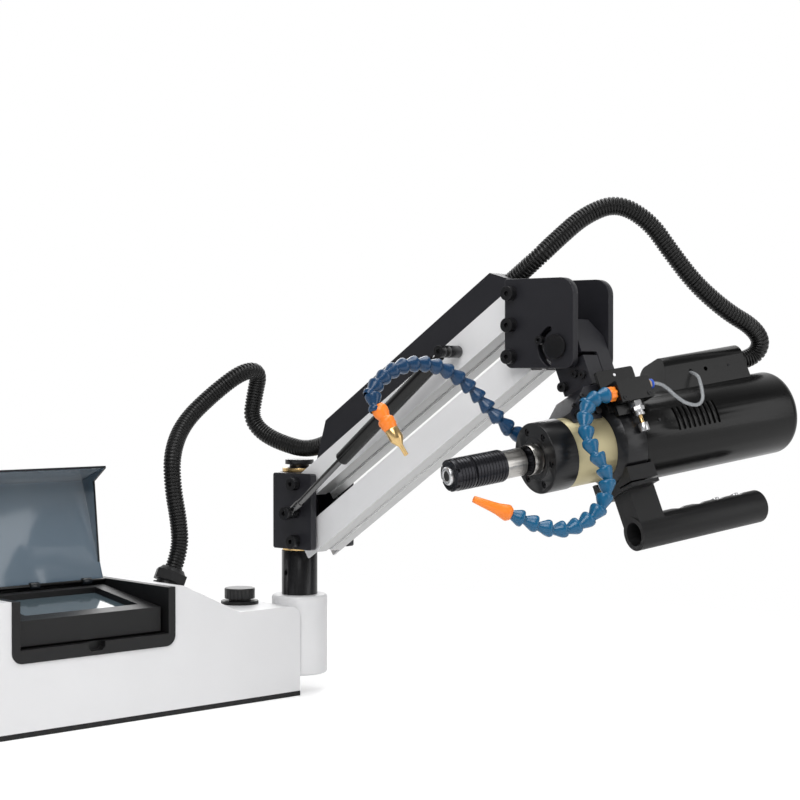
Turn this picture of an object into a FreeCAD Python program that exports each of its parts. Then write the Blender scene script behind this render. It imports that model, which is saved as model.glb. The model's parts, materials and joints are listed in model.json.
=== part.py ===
import FreeCAD, Part
import Sketcher
import math
import os
import re

Vector = FreeCAD.Vector
Rotation = FreeCAD.Rotation

# Lengths in millimetres
sizes = {
    # Cabinet
    "cabinet_length": 441.0, "cabinet_depth": 165.0, "cabinet_height": 151.0, "sheet_wall": 3.0,
    "low_deck_length": 94.0, "low_deck_height": 112.0, "slope_length": 85.0, "low_deck_depth": 96.0,
    "corner_round": 14.0, "base_thickness": 6.0, "bolt_hole_radius": 4.5, "bolt_inset": 28.0,
    "fit_gap": 0.2, "overrun": 2.0,
    # Screen bay, its lining and the lid
    "bay_right_inset": 191.5, "bay_length": 218.5, "bay_depth": 147.0, "bay_height": 69.0,
    "bay_rim": 10.0, "bay_sill": 15.0, "bezel_proud": 2.0, "bezel_round": 13.0, "ledge_depth": 7.0,
    "screen_length": 189.0, "screen_depth": 118.0, "screen_box_height": 31.0, "screen_rise": 16.5, "screen_side_rim": 19.0, "screen_front_rim": 20.0,
    "screen_back_rim": 9.0, "glass_sunk": 7.0, "sill_slot_height": 2.5, "sill_slot_depth": 10.0,
    "notch_depth": 8.0, "notch_corner": 4.0, "lid_corner": 11.0, "hinge_drop": 2.0, "screen_wall": 3.0,
    "screen_thickness": 12.0, "glass_thickness": 2.0, "notch_length": 22.0, "notch_height": 10.0,
    "lid_length": 197.6, "lid_reach": 130.0, "lid_lip": 55.0, "lid_flange": 23.0, "lid_thickness": 3.0,
    "hinge_back": 131.0, "hinge_radius": 2.5, "knuckle_radius": 4.5, "knuckle_length": 12.0,
    "running_gap": 0.05,
    # Filler cap, gland and the drive inside
    "filler_from_right": 42.0, "filler_back": 68.0, "filler_flange_radius": 23.5, "filler_flange": 4.0,
    "filler_neck_radius": 14.0, "filler_neck_height": 9.0, "filler_cap_radius": 19.0,
    "filler_cap_height": 13.0, "filler_bore_radius": 11.0, "gland_from_right": 154.0,
    "gland_back": 69.0, "gland_nut_radius": 21.0, "gland_nut_height": 12.0, "gland_dome_radius": 17.6,
    "gland_flange_radius": 18.0, "gland_flange": 4.5, "gland_thread_radius": 14.6, "gland_thread": 4.0,
    "gland_dome_height": 5.5, "gland_mouth_radius": 13.6, "drive_length": 150.0, "drive_width": 70.0,
    "drive_height": 60.0, "drive_from_left": 45.0, "fin_height": 12.0, "fin_width": 3.0,
    # Column
    "column_beyond_wall": 24.0, "column_behind_front": 30.0, "column_radius": 22.5,
    "column_shoulder": 178.0, "journal_radius": 15.0, "boss_radius": 35.0, 
    "boss_low": 23.0, "boss_high": 122.5, "boss_round": 4.0, "set_hole_radius": 3.2,
    "set_hole_height": 150.0, "cap_radius": 18.0, "cap_height": 6.0, "stem_radius": 12.5,
    "stem_height": 4.0,
    # Arm
    "plate_gap": 60.0, "plate_thickness": 10.0, "housing_low": 183.0, "housing_height": 94.0,
    "housing_plate_back": 8.0, "housing_plate_length": 64.0, "pivot_forward": 30.0,
    "lower_pivot_height": 193.0, "pivot_spacing": 71.0, "housing_radius": 24.0, "housing_web": 14.0,
    "bush_wall": 3.0, "bush_flange_radius": 21.5, "bush_flange": 4.8, "plate_round": 3.0,
    "link_length": 400.0, "profile_height": 35.0, "profile_width": 50.0, "profile_below": 22.0,
    "profile_wall": 3.0, "profile_end": 6.0, "notch_reach": 8.0, "profile_inner": 43.0,
    "bolt_radius": 5.0, "bolt_head_radius": 8.0, "bolt_head": 10.0, "bolt_socket_radius": 3.2,
    "bolt_socket_depth": 5.0, "nut_height": 6.0, "collar_radius": 9.0, "slot_width": 8.0,
    "slot_depth": 2.0, "pivot_play": 0.5, "cover_height": 31.5, "cover_low_start": 36.0,
    "cover_high_start": 75.0, "cover_high_end": 380.0, "cover_low_end": 406.0, "cover_wall": 2.0,
    "cover_port": 11.2, "port_up": 29.5,
    # Gas spring
    "gas_plane": 50.0, "gas_eye_height": 35.5, "gas_stud_along": 292.0, "gas_stud_below": 4.0,
    "gas_eye_radius": 7.0, "gas_eye_width": 9.0, "gas_rod_radius": 4.0, "gas_tube_radius": 8.8,
    "gas_tube_start": 109.0, "gas_tube_length": 186.0, "gas_bolt_radius": 4.0, "gas_bolt_end": 62.0,
    "gas_collar_radius": 7.0, "side_gap": 0.3, "gas_neck_radius": 5.2,
    # Head plates, tilt pin and neck
    "head_plate_back": 9.2, "head_plate_length": 93.0, "head_plate_below": 12.6,
    "head_plate_height": 100.0, "head_round_large": 18.0, "head_round_small": 10.0,
    "tilt_pin_forward": 61.3, "tilt_pin_up": 11.4, "tilt_pin_radius": 9.0, "tilt_disc_radius": 13.5,
    "tilt_disc": 4.0, "slot_radius": 21.5, "slot_half": 3.2, "lock_radius": 3.0,
    "lock_head_radius": 5.0, "lock_head": 6.0, "neck_half": 20.0, "neck_front": 25.0,
    "neck_rear": 29.0, "neck_top": 25.0, "neck_bottom": 52.0, "neck_chamfer": 20.0, "tongue_rear": 3.0,
    "tongue_top": 18.0, "split_gap": 2.0, "neck_screw_radius": 2.5, "neck_screw_head": 4.2,
    "clamp_bolt_radius": 3.0, "clamp_head_radius": 5.5, "clamp_head": 7.0, "clamp_drop": 42.0,
    "clamp_side": 16.0, "post_radius": 11.0, "post_depth": 30.0, "small_screw_one": 2.8,
    "small_screw_drop": 33.8, "small_screw_two": 11.8, "small_screw_low": 38.7,
    # Spindle head
    "spindle_drop": 116.0, "flange_start": -99.0, "gold_start": -69.0, "ring_start": -17.0,
    "ring_full": -9.4, "cover_from": 17.0, "cover_rear": 238.0, "housing_outer": 38.0,
    "flange_outer": 38.8, "motor_outer": 47.5, "cover_shell": 2.5, "cover_round": 11.0,
    "housing_bore": 26.0, "bearing_width": 12.0, "shaft_radius": 12.5, "motor_radius": 38.0,
    "motor_length": 150.0, "vent_from": 62.0, "vent_pitch": 7.0, "vent_width": 3.0,
    "vent_length": 27.0, "vent_low": -10.0, "saddle_from": -58.0, "saddle_to": -19.0,
    "saddle_half": 30.0, "saddle_low": 20.0, "saddle_step": 48.5, "saddle_top": 62.0,
    "saddle_tip": 14.0, "saddle_crest": -30.0, "saddle_shoulder": 36.0, "screw_inset": 8.0,
    "flange_lip": 4.0, "screw_radius": 2.5, "screw_head_radius": 4.0, "screw_head": 4.0,
    "screw_length": 10.0, "screw_ring": 30.0, "screw_sunk": 1.2, "groove_radius": 23.0, "groove_width": 1.0,
    "groove_depth": 1.0,
    # Cable box on the cover, mist valve and handle
    "box_front": 75.0, "box_slope": 16.0, "box_rear": 201.6, "box_half": 26.0, "box_top": 83.0,
    "box_round": 14.0, "box_foot": 30.0, "push_height": 46.5, "box_hole_radius": 2.6,
    "box_hole_one": 121.0, "box_hole_two": 142.5, "box_hole_height": 58.5, "box_wall": 2.5,
    "box_port": 11.2, "box_port_height": 66.0, "bracket_from": -17.0, "bracket_to": 33.0,
    "bracket_high": 73.0, "bracket_face": -41.0, "bracket_thickness": 5.0, "foot_from": -12.0,
    "foot_to": 4.0, "foot_low": 18.0, "foot_high": 29.5, "foot_reach": 9.0, "valve_from": -9.0,
    "valve_to": 35.0, "valve_low": 30.0, "valve_high": 55.0, "valve_depth": 19.0,
    "outlet_height": 43.0, "outlet_depth": -50.0, "nut_radius": 8.5, "nut_length": 9.0,
    "push_radius": 6.0, "push_length": 6.0, "ring_radius": 5.0, "ring_length": 3.0, "hex_radius": 7.0,
    "hex_length": 17.0, "hex_along": 12.5, "hex_depth": -53.0, "stem_thin": 2.4, "stem_length": 9.0,
    "knob_radius": 5.5, "knob_length": 9.0, "manifold_from": -43.0, "manifold_to": -28.0,
    "manifold_reach": 22.0, "manifold_height": 16.0, "rear_outlet_side": 44.0,
    "rear_outlet_height": 35.0, "leg_from": -6.0, "leg_to": 28.0, "leg_half": 16.0, "ear_half": 36.0,
    "ear_from": -14.0, "ear_to": 22.0, "ear_high": -36.0, "ear_low": -58.0, "ear_split": -54.0,
    "split_reach": 12.0, "grip_drop": 104.0, "grip_radius": 18.5, "grip_from": -7.0, "grip_to": 171.0,
    "grip_bore": 13.0, "grip_wall_end": 8.0, "finger_radius": 17.0, "finger_depth": 3.0,
    "finger_first": 58.0, "finger_pitch": 28.0, "button_radius": 5.0, "button_proud": 4.0,
    "button_sunk": 4.5, "button_flange": 6.3, "button_flange_height": 2.5,
    # Chuck
    "nose_front": -209.0, "nose_rear": -202.0, "sleeve_rear": -144.5, "collar_rear": -119.0,
    "black_rear": -110.0, "nose_lip_radius": 9.0, "nose_radius": 17.2, "sleeve_radius": 17.5,
    "sleeve_bore": 15.3, "collar_outer": 15.2, "black_radius": 14.8, "silver_radius": 16.7,
    "tap_hole_radius": 3.5, "tap_hole_depth": 30.0, "rib_depth": 0.6, "joint_at": -177.0,
    "nose_slot": 4.0, "joint_width": 1.0, "nose_lip": 3.0, "shaft_rear": 8.0, "shaft_step": -101.0,
    # Ribbed conduits and jointed hoses
    "conduit_radius": 10.6, "conduit_root": 9.0, "conduit_bore": 7.6, "conduit_pitch": 5.6,
    "hose_radius": 8.6, "hose_neck": 5.6, "hose_bore": 3.2, "hose_pitch": 15.5, "air_radius": 2.0,
    "air_bore": 1.2, "cone_base": 9.5, "cone_tip": 3.4, "cone_length": 34.0, "coupler_radius": 8.5,
    "coupler_length": 20.0, "brass_radius": 6.0, "brass_length": 12.0, "tip_radius": 1.8,
    "tip_length": 16.0, "tip_bore": 1.0,
}
# Angles in degrees
angles = {
    "lid_open_angle": 109.7, "arm_yaw": -82.5, "arm_rise": 34.5, "slot_from": 117.0, "slot_to": 242.0,
    "lock_angle": 161.0, "head_tilt": 22.0, "head_turn": 68.0,
}
# Counts
counts = {
    "vent_count": 9, "finger_count": 4, "rib_count": 15, "nose_slots": 6,
}
named = {**sizes, **angles, **counts}

document = FreeCAD.newDocument("ArmTappingMachine")
sheet = document.addObject("Spreadsheet::Sheet", "dim")
for row, (name, size) in enumerate(named.items(), start=1):
    sheet.set("A%d" % row, name)
    sheet.set("B%d" % row, str(size))
    sheet.setAlias("B%d" % row, name)
document.recompute()


def less(text):
    """A sum with its signs turned, to be taken from another."""
    return "- " + text.replace("+", "~").replace("-", "+").replace("~", "-")


def given(name):
    """A size read back from the sheet."""
    return float(getattr(sheet, name))


def bound(text):
    """Expression text in which each named size is read from the sheet."""
    return re.sub(r"[a-z][a-z_]+", lambda word: "dim." + word[0] if word[0] in named else word[0], text)


def value(text):
    """The number that an expression of named sizes comes to."""
    scope = {name: given(name) for name in named}
    steps = re.findall(r"[a-z][a-z_]+|[\d.]+|[-+*/()]", text)
    return total(steps, scope)


def total(steps, scope):
    """Adds up a list of signed terms, each a product or quotient of names and numbers."""
    def number(step):
        return scope[step] if step in scope else float(step)

    def term(index):
        sign = 1.0
        while steps[index] in "+-":
            sign = -sign if steps[index] == "-" else sign
            index += 1
        result = number(steps[index])
        index += 1
        while index < len(steps) and steps[index] in "*/":
            other = number(steps[index + 1])
            result = result * other if steps[index] == "*" else result / other
            index += 2
        return sign * result, index

    result, place = 0.0, 0
    while place < len(steps):
        part, place = term(place)
        result += part
    return result


AXES = {"x": Vector(1, 0, 0), "y": Vector(0, 1, 0), "z": Vector(0, 0, 1)}
pieces = {}


class Piece:
    """One sub-part, built as a body in the frame of the group that carries it."""

    def __init__(self, label):
        self.body = document.addObject("PartDesign::Body", label)
        self.body.Label = label
        self.body.AllowCompound = True
        pieces[label] = self.body

    def feature(self, kind, cut, lengths, place, turn):
        name = ("Subtractive" if cut else "Additive") + kind
        item = self.body.newObject("PartDesign::" + name, self.body.Name + name)
        for prop, text in lengths.items():
            item.setExpression(prop, bound(text))
        item.Placement = FreeCAD.Placement(Vector(), turn)
        for axis, text in zip("xyz", place):
            item.setExpression("Placement.Base." + axis, bound(text))
        return item

    def block(self, low, high, cut=False):
        """A block between two corners."""
        spans = ["(%s) - (%s)" % (top, bottom) for bottom, top in zip(low, high)]
        lengths = dict(zip(("Length", "Width", "Height"), spans))
        return self.feature("Box", cut, lengths, low, Rotation())

    def rod(self, start, radius, length, axis="z", cut=False):
        """A round rod or hole from its start along an axis."""
        turn = Rotation(AXES["z"], AXES[axis])
        return self.feature("Cylinder", cut, {"Radius": radius, "Height": length}, start, turn)

    def taper(self, start, radius, far_radius, length, axis="z", cut=False):
        """A cone from its start along an axis."""
        turn = Rotation(AXES["z"], AXES[axis])
        lengths = {"Radius1": radius, "Radius2": far_radius, "Height": length}
        return self.feature("Cone", cut, lengths, start, turn)

    def ring(self, centre, radius, thickness, axis="z", cut=False):
        """A round-section ring about an axis."""
        turn = Rotation(AXES["z"], AXES[axis])
        return self.feature("Torus", cut, {"Radius1": radius, "Radius2": thickness}, centre, turn)

    def hexagon(self, start, radius, length, axis="z", cut=False):
        """A six-sided bar from its start along an axis."""
        turn = Rotation(AXES["z"], AXES[axis])
        lengths = {"Circumradius": radius, "Height": length}
        return self.feature("Prism", cut, lengths, start, turn)

    def outline(self, corners, start, depth, cut=False, plane="XZ_Plane"):
        """A slab with a cornered outline, from a start along the plane's normal."""
        sketch = self.body.newObject("Sketcher::SketchObject", self.body.Name + "Outline")
        origin_plane = next(item for item in self.body.Origin.OriginFeatures if item.Role == plane)
        sketch.AttachmentSupport = [(origin_plane, "")]
        sketch.MapMode = "FlatFace"
        sketch.setExpression("AttachmentOffset.Base.z", bound(start))
        spots = [Vector(value(across), value(up), 0) for across, up in corners]
        count = len(spots)
        for index, spot in enumerate(spots):
            sketch.addGeometry(Part.LineSegment(spot, spots[(index + 1) % count]), False)
        for index in range(count):
            sketch.addConstraint(Sketcher.Constraint("Coincident", index, 2, (index + 1) % count, 1))
        for index, corner in enumerate(corners):
            for kind, text in zip(("DistanceX", "DistanceY"), corner):
                spot = Sketcher.Constraint(kind, -1, 1, index, 1, value(text))
                sketch.setExpression("Constraints[%d]" % sketch.addConstraint(spot), bound(text))
        slab = self.body.newObject("PartDesign::" + ("Pocket" if cut else "Pad"), self.body.Name + "Slab")
        slab.Profile = sketch
        slab.setExpression("Length", bound(depth))
        slab.Reversed = cut
        return slab

    def soften(self, radius, chosen, kind="Fillet"):
        """Rounds or chamfers the edges that a test picks out."""
        document.recompute()
        base = self.body.Tip
        names = ["Edge%d" % (index + 1) for index, edge in enumerate(base.Shape.Edges) if chosen(edge)]
        item = self.body.newObject("PartDesign::" + kind, self.body.Name + kind)
        item.Base = (base, names)
        item.setExpression("Radius" if kind == "Fillet" else "Size", bound(radius))
        return item


def along(edge, axis):
    """True for a straight edge that runs along an axis."""
    if edge.Curve.TypeId != "Part::GeomLine":
        return False
    return abs(edge.tangentAt(edge.FirstParameter).dot(AXES[axis])) > 1 - 1e-6


def near(edge, axis, text):
    """True for an edge whose middle lies at a place along an axis."""
    return abs(edge.CenterOfMass.dot(AXES[axis]) - value(text)) < given("fit_gap")


def turned(frame, axis, degrees, shift=Vector()):
    """A frame moved by a shift within another and then turned about one of its own axes."""
    return frame.multiply(FreeCAD.Placement(shift, Rotation(AXES[axis], degrees)))


def spot(*texts):
    """A place worked out from named sizes."""
    return Vector(*(value(text) for text in texts))


# Frames of the groups: the cabinet's front right foot, the column, the links, the head, the spindle
cabinet_frame = FreeCAD.Placement(spot("cabinet_length * 0.5", "0 - cabinet_depth * 0.5", "0"), Rotation())
column_frame = FreeCAD.Placement(
    spot("cabinet_length * 0.5 + column_beyond_wall", "column_behind_front - cabinet_depth * 0.5", "0"), Rotation())
arm_frame = turned(column_frame, "z", given("arm_yaw"))
rise = math.radians(given("arm_rise"))
lower_pivot = spot("pivot_forward", "0", "lower_pivot_height")
upper_pivot = spot("pivot_forward", "0", "lower_pivot_height + pivot_spacing")
lower_frame = turned(arm_frame, "y", -given("arm_rise"), lower_pivot)
upper_frame = turned(arm_frame, "y", -given("arm_rise"), upper_pivot)
reach = Vector(math.cos(rise), 0, math.sin(rise)) * given("link_length")
head_frame = turned(arm_frame, "y", 0, lower_pivot + reach)
pin_frame = turned(head_frame, "y", 0, spot("tilt_pin_forward", "0", "tilt_pin_up"))
tilt_frame = turned(pin_frame, "y", -given("head_tilt"))
spindle_frame = turned(tilt_frame, "z", given("head_turn"), spot("0", "0", "0 - spindle_drop"))

gas_eye = spot("pivot_forward", "0 - gas_plane", "lower_pivot_height + gas_eye_height")
gas_stud_place = arm_frame.inverse().multVec(
    upper_frame.multVec(spot("gas_stud_along", "0 - gas_plane", "0 - gas_stud_below")))
gas_span = gas_stud_place - gas_eye
gas_angle = math.degrees(math.atan2(gas_span.z, gas_span.x))
gas_length = gas_span.Length
gas_frame = turned(arm_frame, "y", -gas_angle, gas_eye)
row = len(named) + 1
sheet.set("A%d" % row, "gas_reach")
sheet.set("B%d" % row, str(gas_length))
sheet.setAlias("B%d" % row, "gas_reach")
named["gas_reach"] = gas_length
document.recompute()

slope_fall = given("cabinet_height") - given("low_deck_height")
slope_angle = math.degrees(math.atan2(slope_fall, given("slope_length")))
gland_up = given("low_deck_height") + (given("gland_from_right") - given("low_deck_length")) * (
    slope_fall / given("slope_length"))
gland_spot = Vector(-given("gland_from_right"), given("gland_back"), gland_up)
gland_frame = turned(cabinet_frame, "y", slope_angle, gland_spot)
hinge_frame = turned(cabinet_frame, "x", -given("lid_open_angle"), spot(
    "0 - bay_right_inset - bay_length * 0.5", "hinge_back", "cabinet_height - hinge_drop"))

groups = {}


def group(frame, *labels):
    """Names the pieces that stand in one frame."""
    for label in labels:
        groups[label] = frame


def make_cabinet_shell():
    """White sheet shell with a low deck at the column end, a slope and a deeper left half."""
    shell = Piece("cabinet_shell")
    left, deck = "0 - cabinet_length", "0 - low_deck_length"
    crest = "0 - low_deck_length - slope_length"
    shell.outline([(left, "base_thickness"), ("0", "base_thickness"), ("0", "low_deck_height"),
                   (deck, "low_deck_height"), (crest, "cabinet_height"), (left, "cabinet_height")],
                  "0 - low_deck_depth", "low_deck_depth")
    shell.soften("corner_round", lambda edge: along(edge, "y") and near(edge, "x", "0")
                 and near(edge, "z", "low_deck_height"))
    shell.block((left, "low_deck_depth - overrun", "base_thickness"), (crest, "cabinet_depth", "cabinet_height"))
    shell.outline([(left + " + sheet_wall", "0"), ("0 - sheet_wall", "0"),
                   ("0 - sheet_wall", "low_deck_height - corner_round"),
                   ("0 - corner_round", "low_deck_height - sheet_wall"), (deck, "low_deck_height - sheet_wall"),
                   (crest, "cabinet_height - sheet_wall"), (left + " + sheet_wall", "cabinet_height - sheet_wall")],
                  "sheet_wall - low_deck_depth", "low_deck_depth - sheet_wall * 2", cut=True)
    shell.block((left + " + sheet_wall", "low_deck_depth - sheet_wall * 2", "0"),
                (crest + " - sheet_wall", "cabinet_depth - sheet_wall", "cabinet_height - sheet_wall"), cut=True)
    shell.block(("0 - bay_right_inset - bay_length", "0 - overrun", "cabinet_height - bay_height"),
                ("0 - bay_right_inset", "bay_depth", "cabinet_height + overrun"), cut=True)
    shell.soften("bezel_round", lambda edge: along(edge, "y") and near(edge, "z", "cabinet_height - bay_height"))
    shell.rod(("column_beyond_wall", "column_behind_front", "boss_low - fit_gap"), "boss_radius + fit_gap",
              "cabinet_height", cut=True)
    shell.rod(("0 - filler_from_right", "filler_back", "low_deck_height - sheet_wall - overrun"),
              "filler_bore_radius", "sheet_wall + overrun * 2", cut=True)
    return shell


def make_base_plate():
    """Steel foot plate under both halves, with four holes for bench bolts."""
    plate = Piece("base_plate")
    left, crest = "0 - cabinet_length", "0 - low_deck_length - slope_length"
    plate.block((left, "0", "0"), ("0", "low_deck_depth", "base_thickness"))
    plate.block((left, "low_deck_depth - overrun", "0"), (crest, "cabinet_depth", "base_thickness"))
    for across in ("0 - bolt_inset", left + " + bolt_inset"):
        for back in ("bolt_inset", "low_deck_depth - bolt_inset"):
            plate.rod((across, back, "0 - overrun"), "bolt_hole_radius", "base_thickness + overrun * 2", cut=True)
    return plate


SCREEN_TOP = "cabinet_height - bay_height + bay_sill + screen_box_height"


def climb(depth):
    """Rise of the screen box's sloping top over a depth."""
    return "screen_rise / screen_depth * " + depth


def make_screen_bezel():
    """Black lining of the screen bay, open to the front and top, with the sloping box that holds the screen."""
    bezel = Piece("screen_bezel")
    left, right = "0 - bay_right_inset - bay_length", "0 - bay_right_inset"
    low, middle = "cabinet_height - bay_height", "0 - bay_right_inset - bay_length * 0.5"
    floor, half = low + " + bay_sill", "screen_length * 0.5"
    bezel.block((left, "0 - bezel_proud", low), (right, "bay_depth", "cabinet_height"))
    bezel.soften("bezel_round", lambda edge: along(edge, "y") and near(edge, "z", low))
    bezel.block((left + " + bay_rim", "0 - bezel_proud - overrun", floor),
                (right + " - bay_rim", "bay_depth - screen_wall", "cabinet_height + overrun"), cut=True)
    bezel.outline([("ledge_depth", floor + " - overrun"), ("ledge_depth + screen_depth", floor + " - overrun"),
                   ("ledge_depth + screen_depth", SCREEN_TOP + " + screen_rise"), ("ledge_depth", SCREEN_TOP)],
                  middle + less(half), "screen_length", plane="YZ_Plane")
    bezel.block((left + " + bay_rim", "ledge_depth - overrun", floor),
                (right + " - bay_rim", "ledge_depth + sill_slot_depth", floor + " + sill_slot_height"), cut=True)
    front, back = "ledge_depth + screen_front_rim", "ledge_depth + screen_depth - screen_back_rim"
    front_top = SCREEN_TOP + " + " + climb("screen_front_rim")
    back_top = SCREEN_TOP + " + screen_rise - " + climb("screen_back_rim")
    pocket = " - glass_sunk - glass_thickness - screen_thickness"
    bezel.outline([(front, front_top + pocket), (back, back_top + pocket), (back, back_top + " + overrun"),
                   (front, front_top + " + overrun")],
                  middle + less(half) + " + screen_side_rim", "screen_length - screen_side_rim * 2",
                  cut=True, plane="YZ_Plane")
    bezel.block((middle + less(half) + " + screen_wall", "ledge_depth + sill_slot_depth + screen_wall",
                 low + " - overrun"),
                (middle + " + " + half + " - screen_wall", "ledge_depth + screen_depth - screen_wall",
                 SCREEN_TOP + pocket + " - screen_wall"), cut=True)
    cut_finger_notch(bezel, middle, floor)
    return bezel


def cut_finger_notch(bezel, middle, floor):
    """Scooped notch in the sill, for a finger under the lid's lip."""
    left, right = middle + " - notch_length * 0.5", middle + " + notch_length * 0.5"
    top, bottom = floor + " + sill_slot_height", floor + " - notch_height"
    bezel.outline([(left, top), (left, bottom + " + notch_corner"), (left + " + notch_corner", bottom),
                   (right + " - notch_corner", bottom), (right, bottom + " + notch_corner"), (right, top)],
                  "0 - notch_depth", "notch_depth + bezel_proud + overrun", cut=True)


def make_touch_screen(label, bottom, top):
    """A flat layer of the seven inch touch panel, sloping with the top of its box."""
    screen = Piece(label)
    front = "ledge_depth + screen_front_rim + fit_gap"
    back = "ledge_depth + screen_depth - screen_back_rim - fit_gap"
    front_top = SCREEN_TOP + " + " + climb("screen_front_rim") + " + " + climb("fit_gap")
    back_top = SCREEN_TOP + " + screen_rise - " + climb("screen_back_rim") + " - " + climb("fit_gap")
    screen.outline([(front, front_top + bottom), (back, back_top + bottom), (back, back_top + top),
                    (front, front_top + top)],
                   "0 - bay_right_inset - bay_length * 0.5 - screen_length * 0.5 + screen_side_rim + fit_gap",
                   "screen_length - screen_side_rim * 2 - fit_gap * 2", plane="YZ_Plane")
    return screen


def make_lid():
    """Smoked lid seen from its hinge, with a front lip and two side flanges."""
    lid = Piece("smoked_lid")
    half, rim = "lid_length * 0.5", "knuckle_radius - lid_thickness"
    lid.block(("0 - " + half, "0 - lid_reach", rim), (half, "0", "knuckle_radius"))
    lid.block(("0 - " + half, "0 - lid_reach", "knuckle_radius - lid_lip"),
              (half, "lid_thickness - lid_reach", "knuckle_radius"))
    for start in (half + " - lid_thickness", "0 - " + half):
        lid.outline([("0 - lid_flange", rim), ("0 - lid_reach + lid_thickness", rim),
                     ("0 - lid_reach + lid_thickness", "knuckle_radius - lid_lip"),
                     ("0 - lid_reach + lid_corner", rim + " - lid_flange")],
                    start, "lid_thickness", plane="YZ_Plane")
    for place in ("0 - lid_length * 0.4", "0 - knuckle_length * 0.5", "lid_length * 0.4 - knuckle_length"):
        lid.rod((place, "0", "0"), "knuckle_radius", "knuckle_length", axis="x")
    lid.rod(("0 - " + half + " - overrun", "0", "0"), "hinge_radius + running_gap", "lid_length + overrun * 2",
            axis="x", cut=True)
    return lid


def make_lid_hinge():
    """Rod that the lid turns on, between the side walls of the bay."""
    hinge = Piece("lid_hinge")
    hinge.rod(("0 - bay_length * 0.5 + bay_rim", "0", "0"), "hinge_radius", "bay_length - bay_rim * 2", axis="x")
    return hinge


def make_filler():
    """Oil filler neck on the low deck and its ribbed cap."""
    neck = Piece("filler_neck")
    centre = ("0 - filler_from_right", "filler_back")
    neck.rod(centre + ("low_deck_height",), "filler_flange_radius", "filler_flange")
    neck.rod(centre + ("low_deck_height",), "filler_neck_radius", "filler_flange + filler_neck_height")
    neck.rod(centre + ("low_deck_height - overrun",), "filler_bore_radius",
             "filler_flange + filler_neck_height + overrun * 2", cut=True)
    cap = Piece("filler_cap")
    low = "low_deck_height + filler_flange + sheet_wall"
    cap.rod(centre + (low,), "filler_cap_radius", "filler_cap_height")
    cap.soften("sheet_wall * 0.5", lambda edge: near(edge, "z", low + " + filler_cap_height"))
    cap.rod(centre + (low + " - overrun",), "filler_neck_radius + running_gap",
            "filler_neck_height - sheet_wall + overrun + fit_gap", cut=True)
    count = 24
    for step in range(count):
        turn = "%.1f" % (step * 360 / count)
        cap.rod(("0 - filler_from_right + filler_cap_radius * cos(%s)" % turn,
                 "filler_back + filler_cap_radius * sin(%s)" % turn, low + " - overrun"),
                "fit_gap * 3", "filler_cap_height - sheet_wall * 0.5 + overrun", cut=True)


def make_gland():
    """Screwed gland that holds the conduit on the slope: flange, thread, hexagon nut and domed end."""
    gland = Piece("conduit_gland")
    gland.rod(("0", "0", "0"), "gland_flange_radius", "gland_flange")
    gland.rod(("0", "0", "0"), "gland_thread_radius", "gland_flange + gland_thread + overrun")
    nut = "gland_flange + gland_thread"
    gland.hexagon(("0", "0", nut), "gland_nut_radius", "gland_nut_height")
    gland.taper(("0", "0", nut + " + gland_nut_height"), "gland_dome_radius", "gland_mouth_radius", "gland_dome_height")
    gland.rod(("0", "0", "0 - overrun"), "conduit_bore",
              nut + " + gland_nut_height + gland_dome_height + overrun * 2", cut=True)
    return gland


def make_servo_drive():
    """Finned motor drive that stands on the base plate inside the cabinet."""
    drive = Piece("servo_drive")
    left = "0 - cabinet_length + drive_from_left"
    top = "base_thickness + drive_height"
    drive.block((left, "low_deck_depth - drive_width", "base_thickness"),
                (left + " + drive_length", "low_deck_depth", top))
    count = 8
    for step in range(count):
        start = left + " + drive_length * %.4f" % (step / count)
        drive.block((start, "low_deck_depth - drive_width", top),
                    (start + " + fin_width", "low_deck_depth", top + " + fin_height"))
    return drive


def make_column():
    """Round boss on the cabinet, the column in it, and the cap that keeps the arm on."""
    boss = Piece("column_boss")
    boss.rod(("0", "0", "boss_low"), "boss_radius", "boss_high - boss_low")
    boss.soften("boss_round", lambda edge: not along(edge, "z"))
    boss.rod(("0", "0", "boss_low + boss_round"), "column_radius", "boss_high", cut=True)
    column = Piece("column")
    column.rod(("0", "0", "boss_low + boss_round"), "column_radius", "column_shoulder - boss_low - boss_round")
    column.rod(("0", "0", "column_shoulder - overrun"), "journal_radius",
               "housing_height + bush_flange * 2 + overrun + fit_gap * 4")
    column.rod(("0 - column_radius - overrun", "0", "set_hole_height"), "set_hole_radius", "column_radius",
               axis="x", cut=True)
    cap = Piece("retaining_cap")
    top = "column_shoulder + housing_height + bush_flange * 2 + fit_gap * 4"
    cap.rod(("0", "0", top), "stem_radius", "stem_height + overrun")
    cap.rod(("0", "0", top + " + stem_height"), "cap_radius", "cap_height")
    cap.soften("fit_gap * 4", lambda edge: near(edge, "z", top + " + stem_height + cap_height"))


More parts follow.
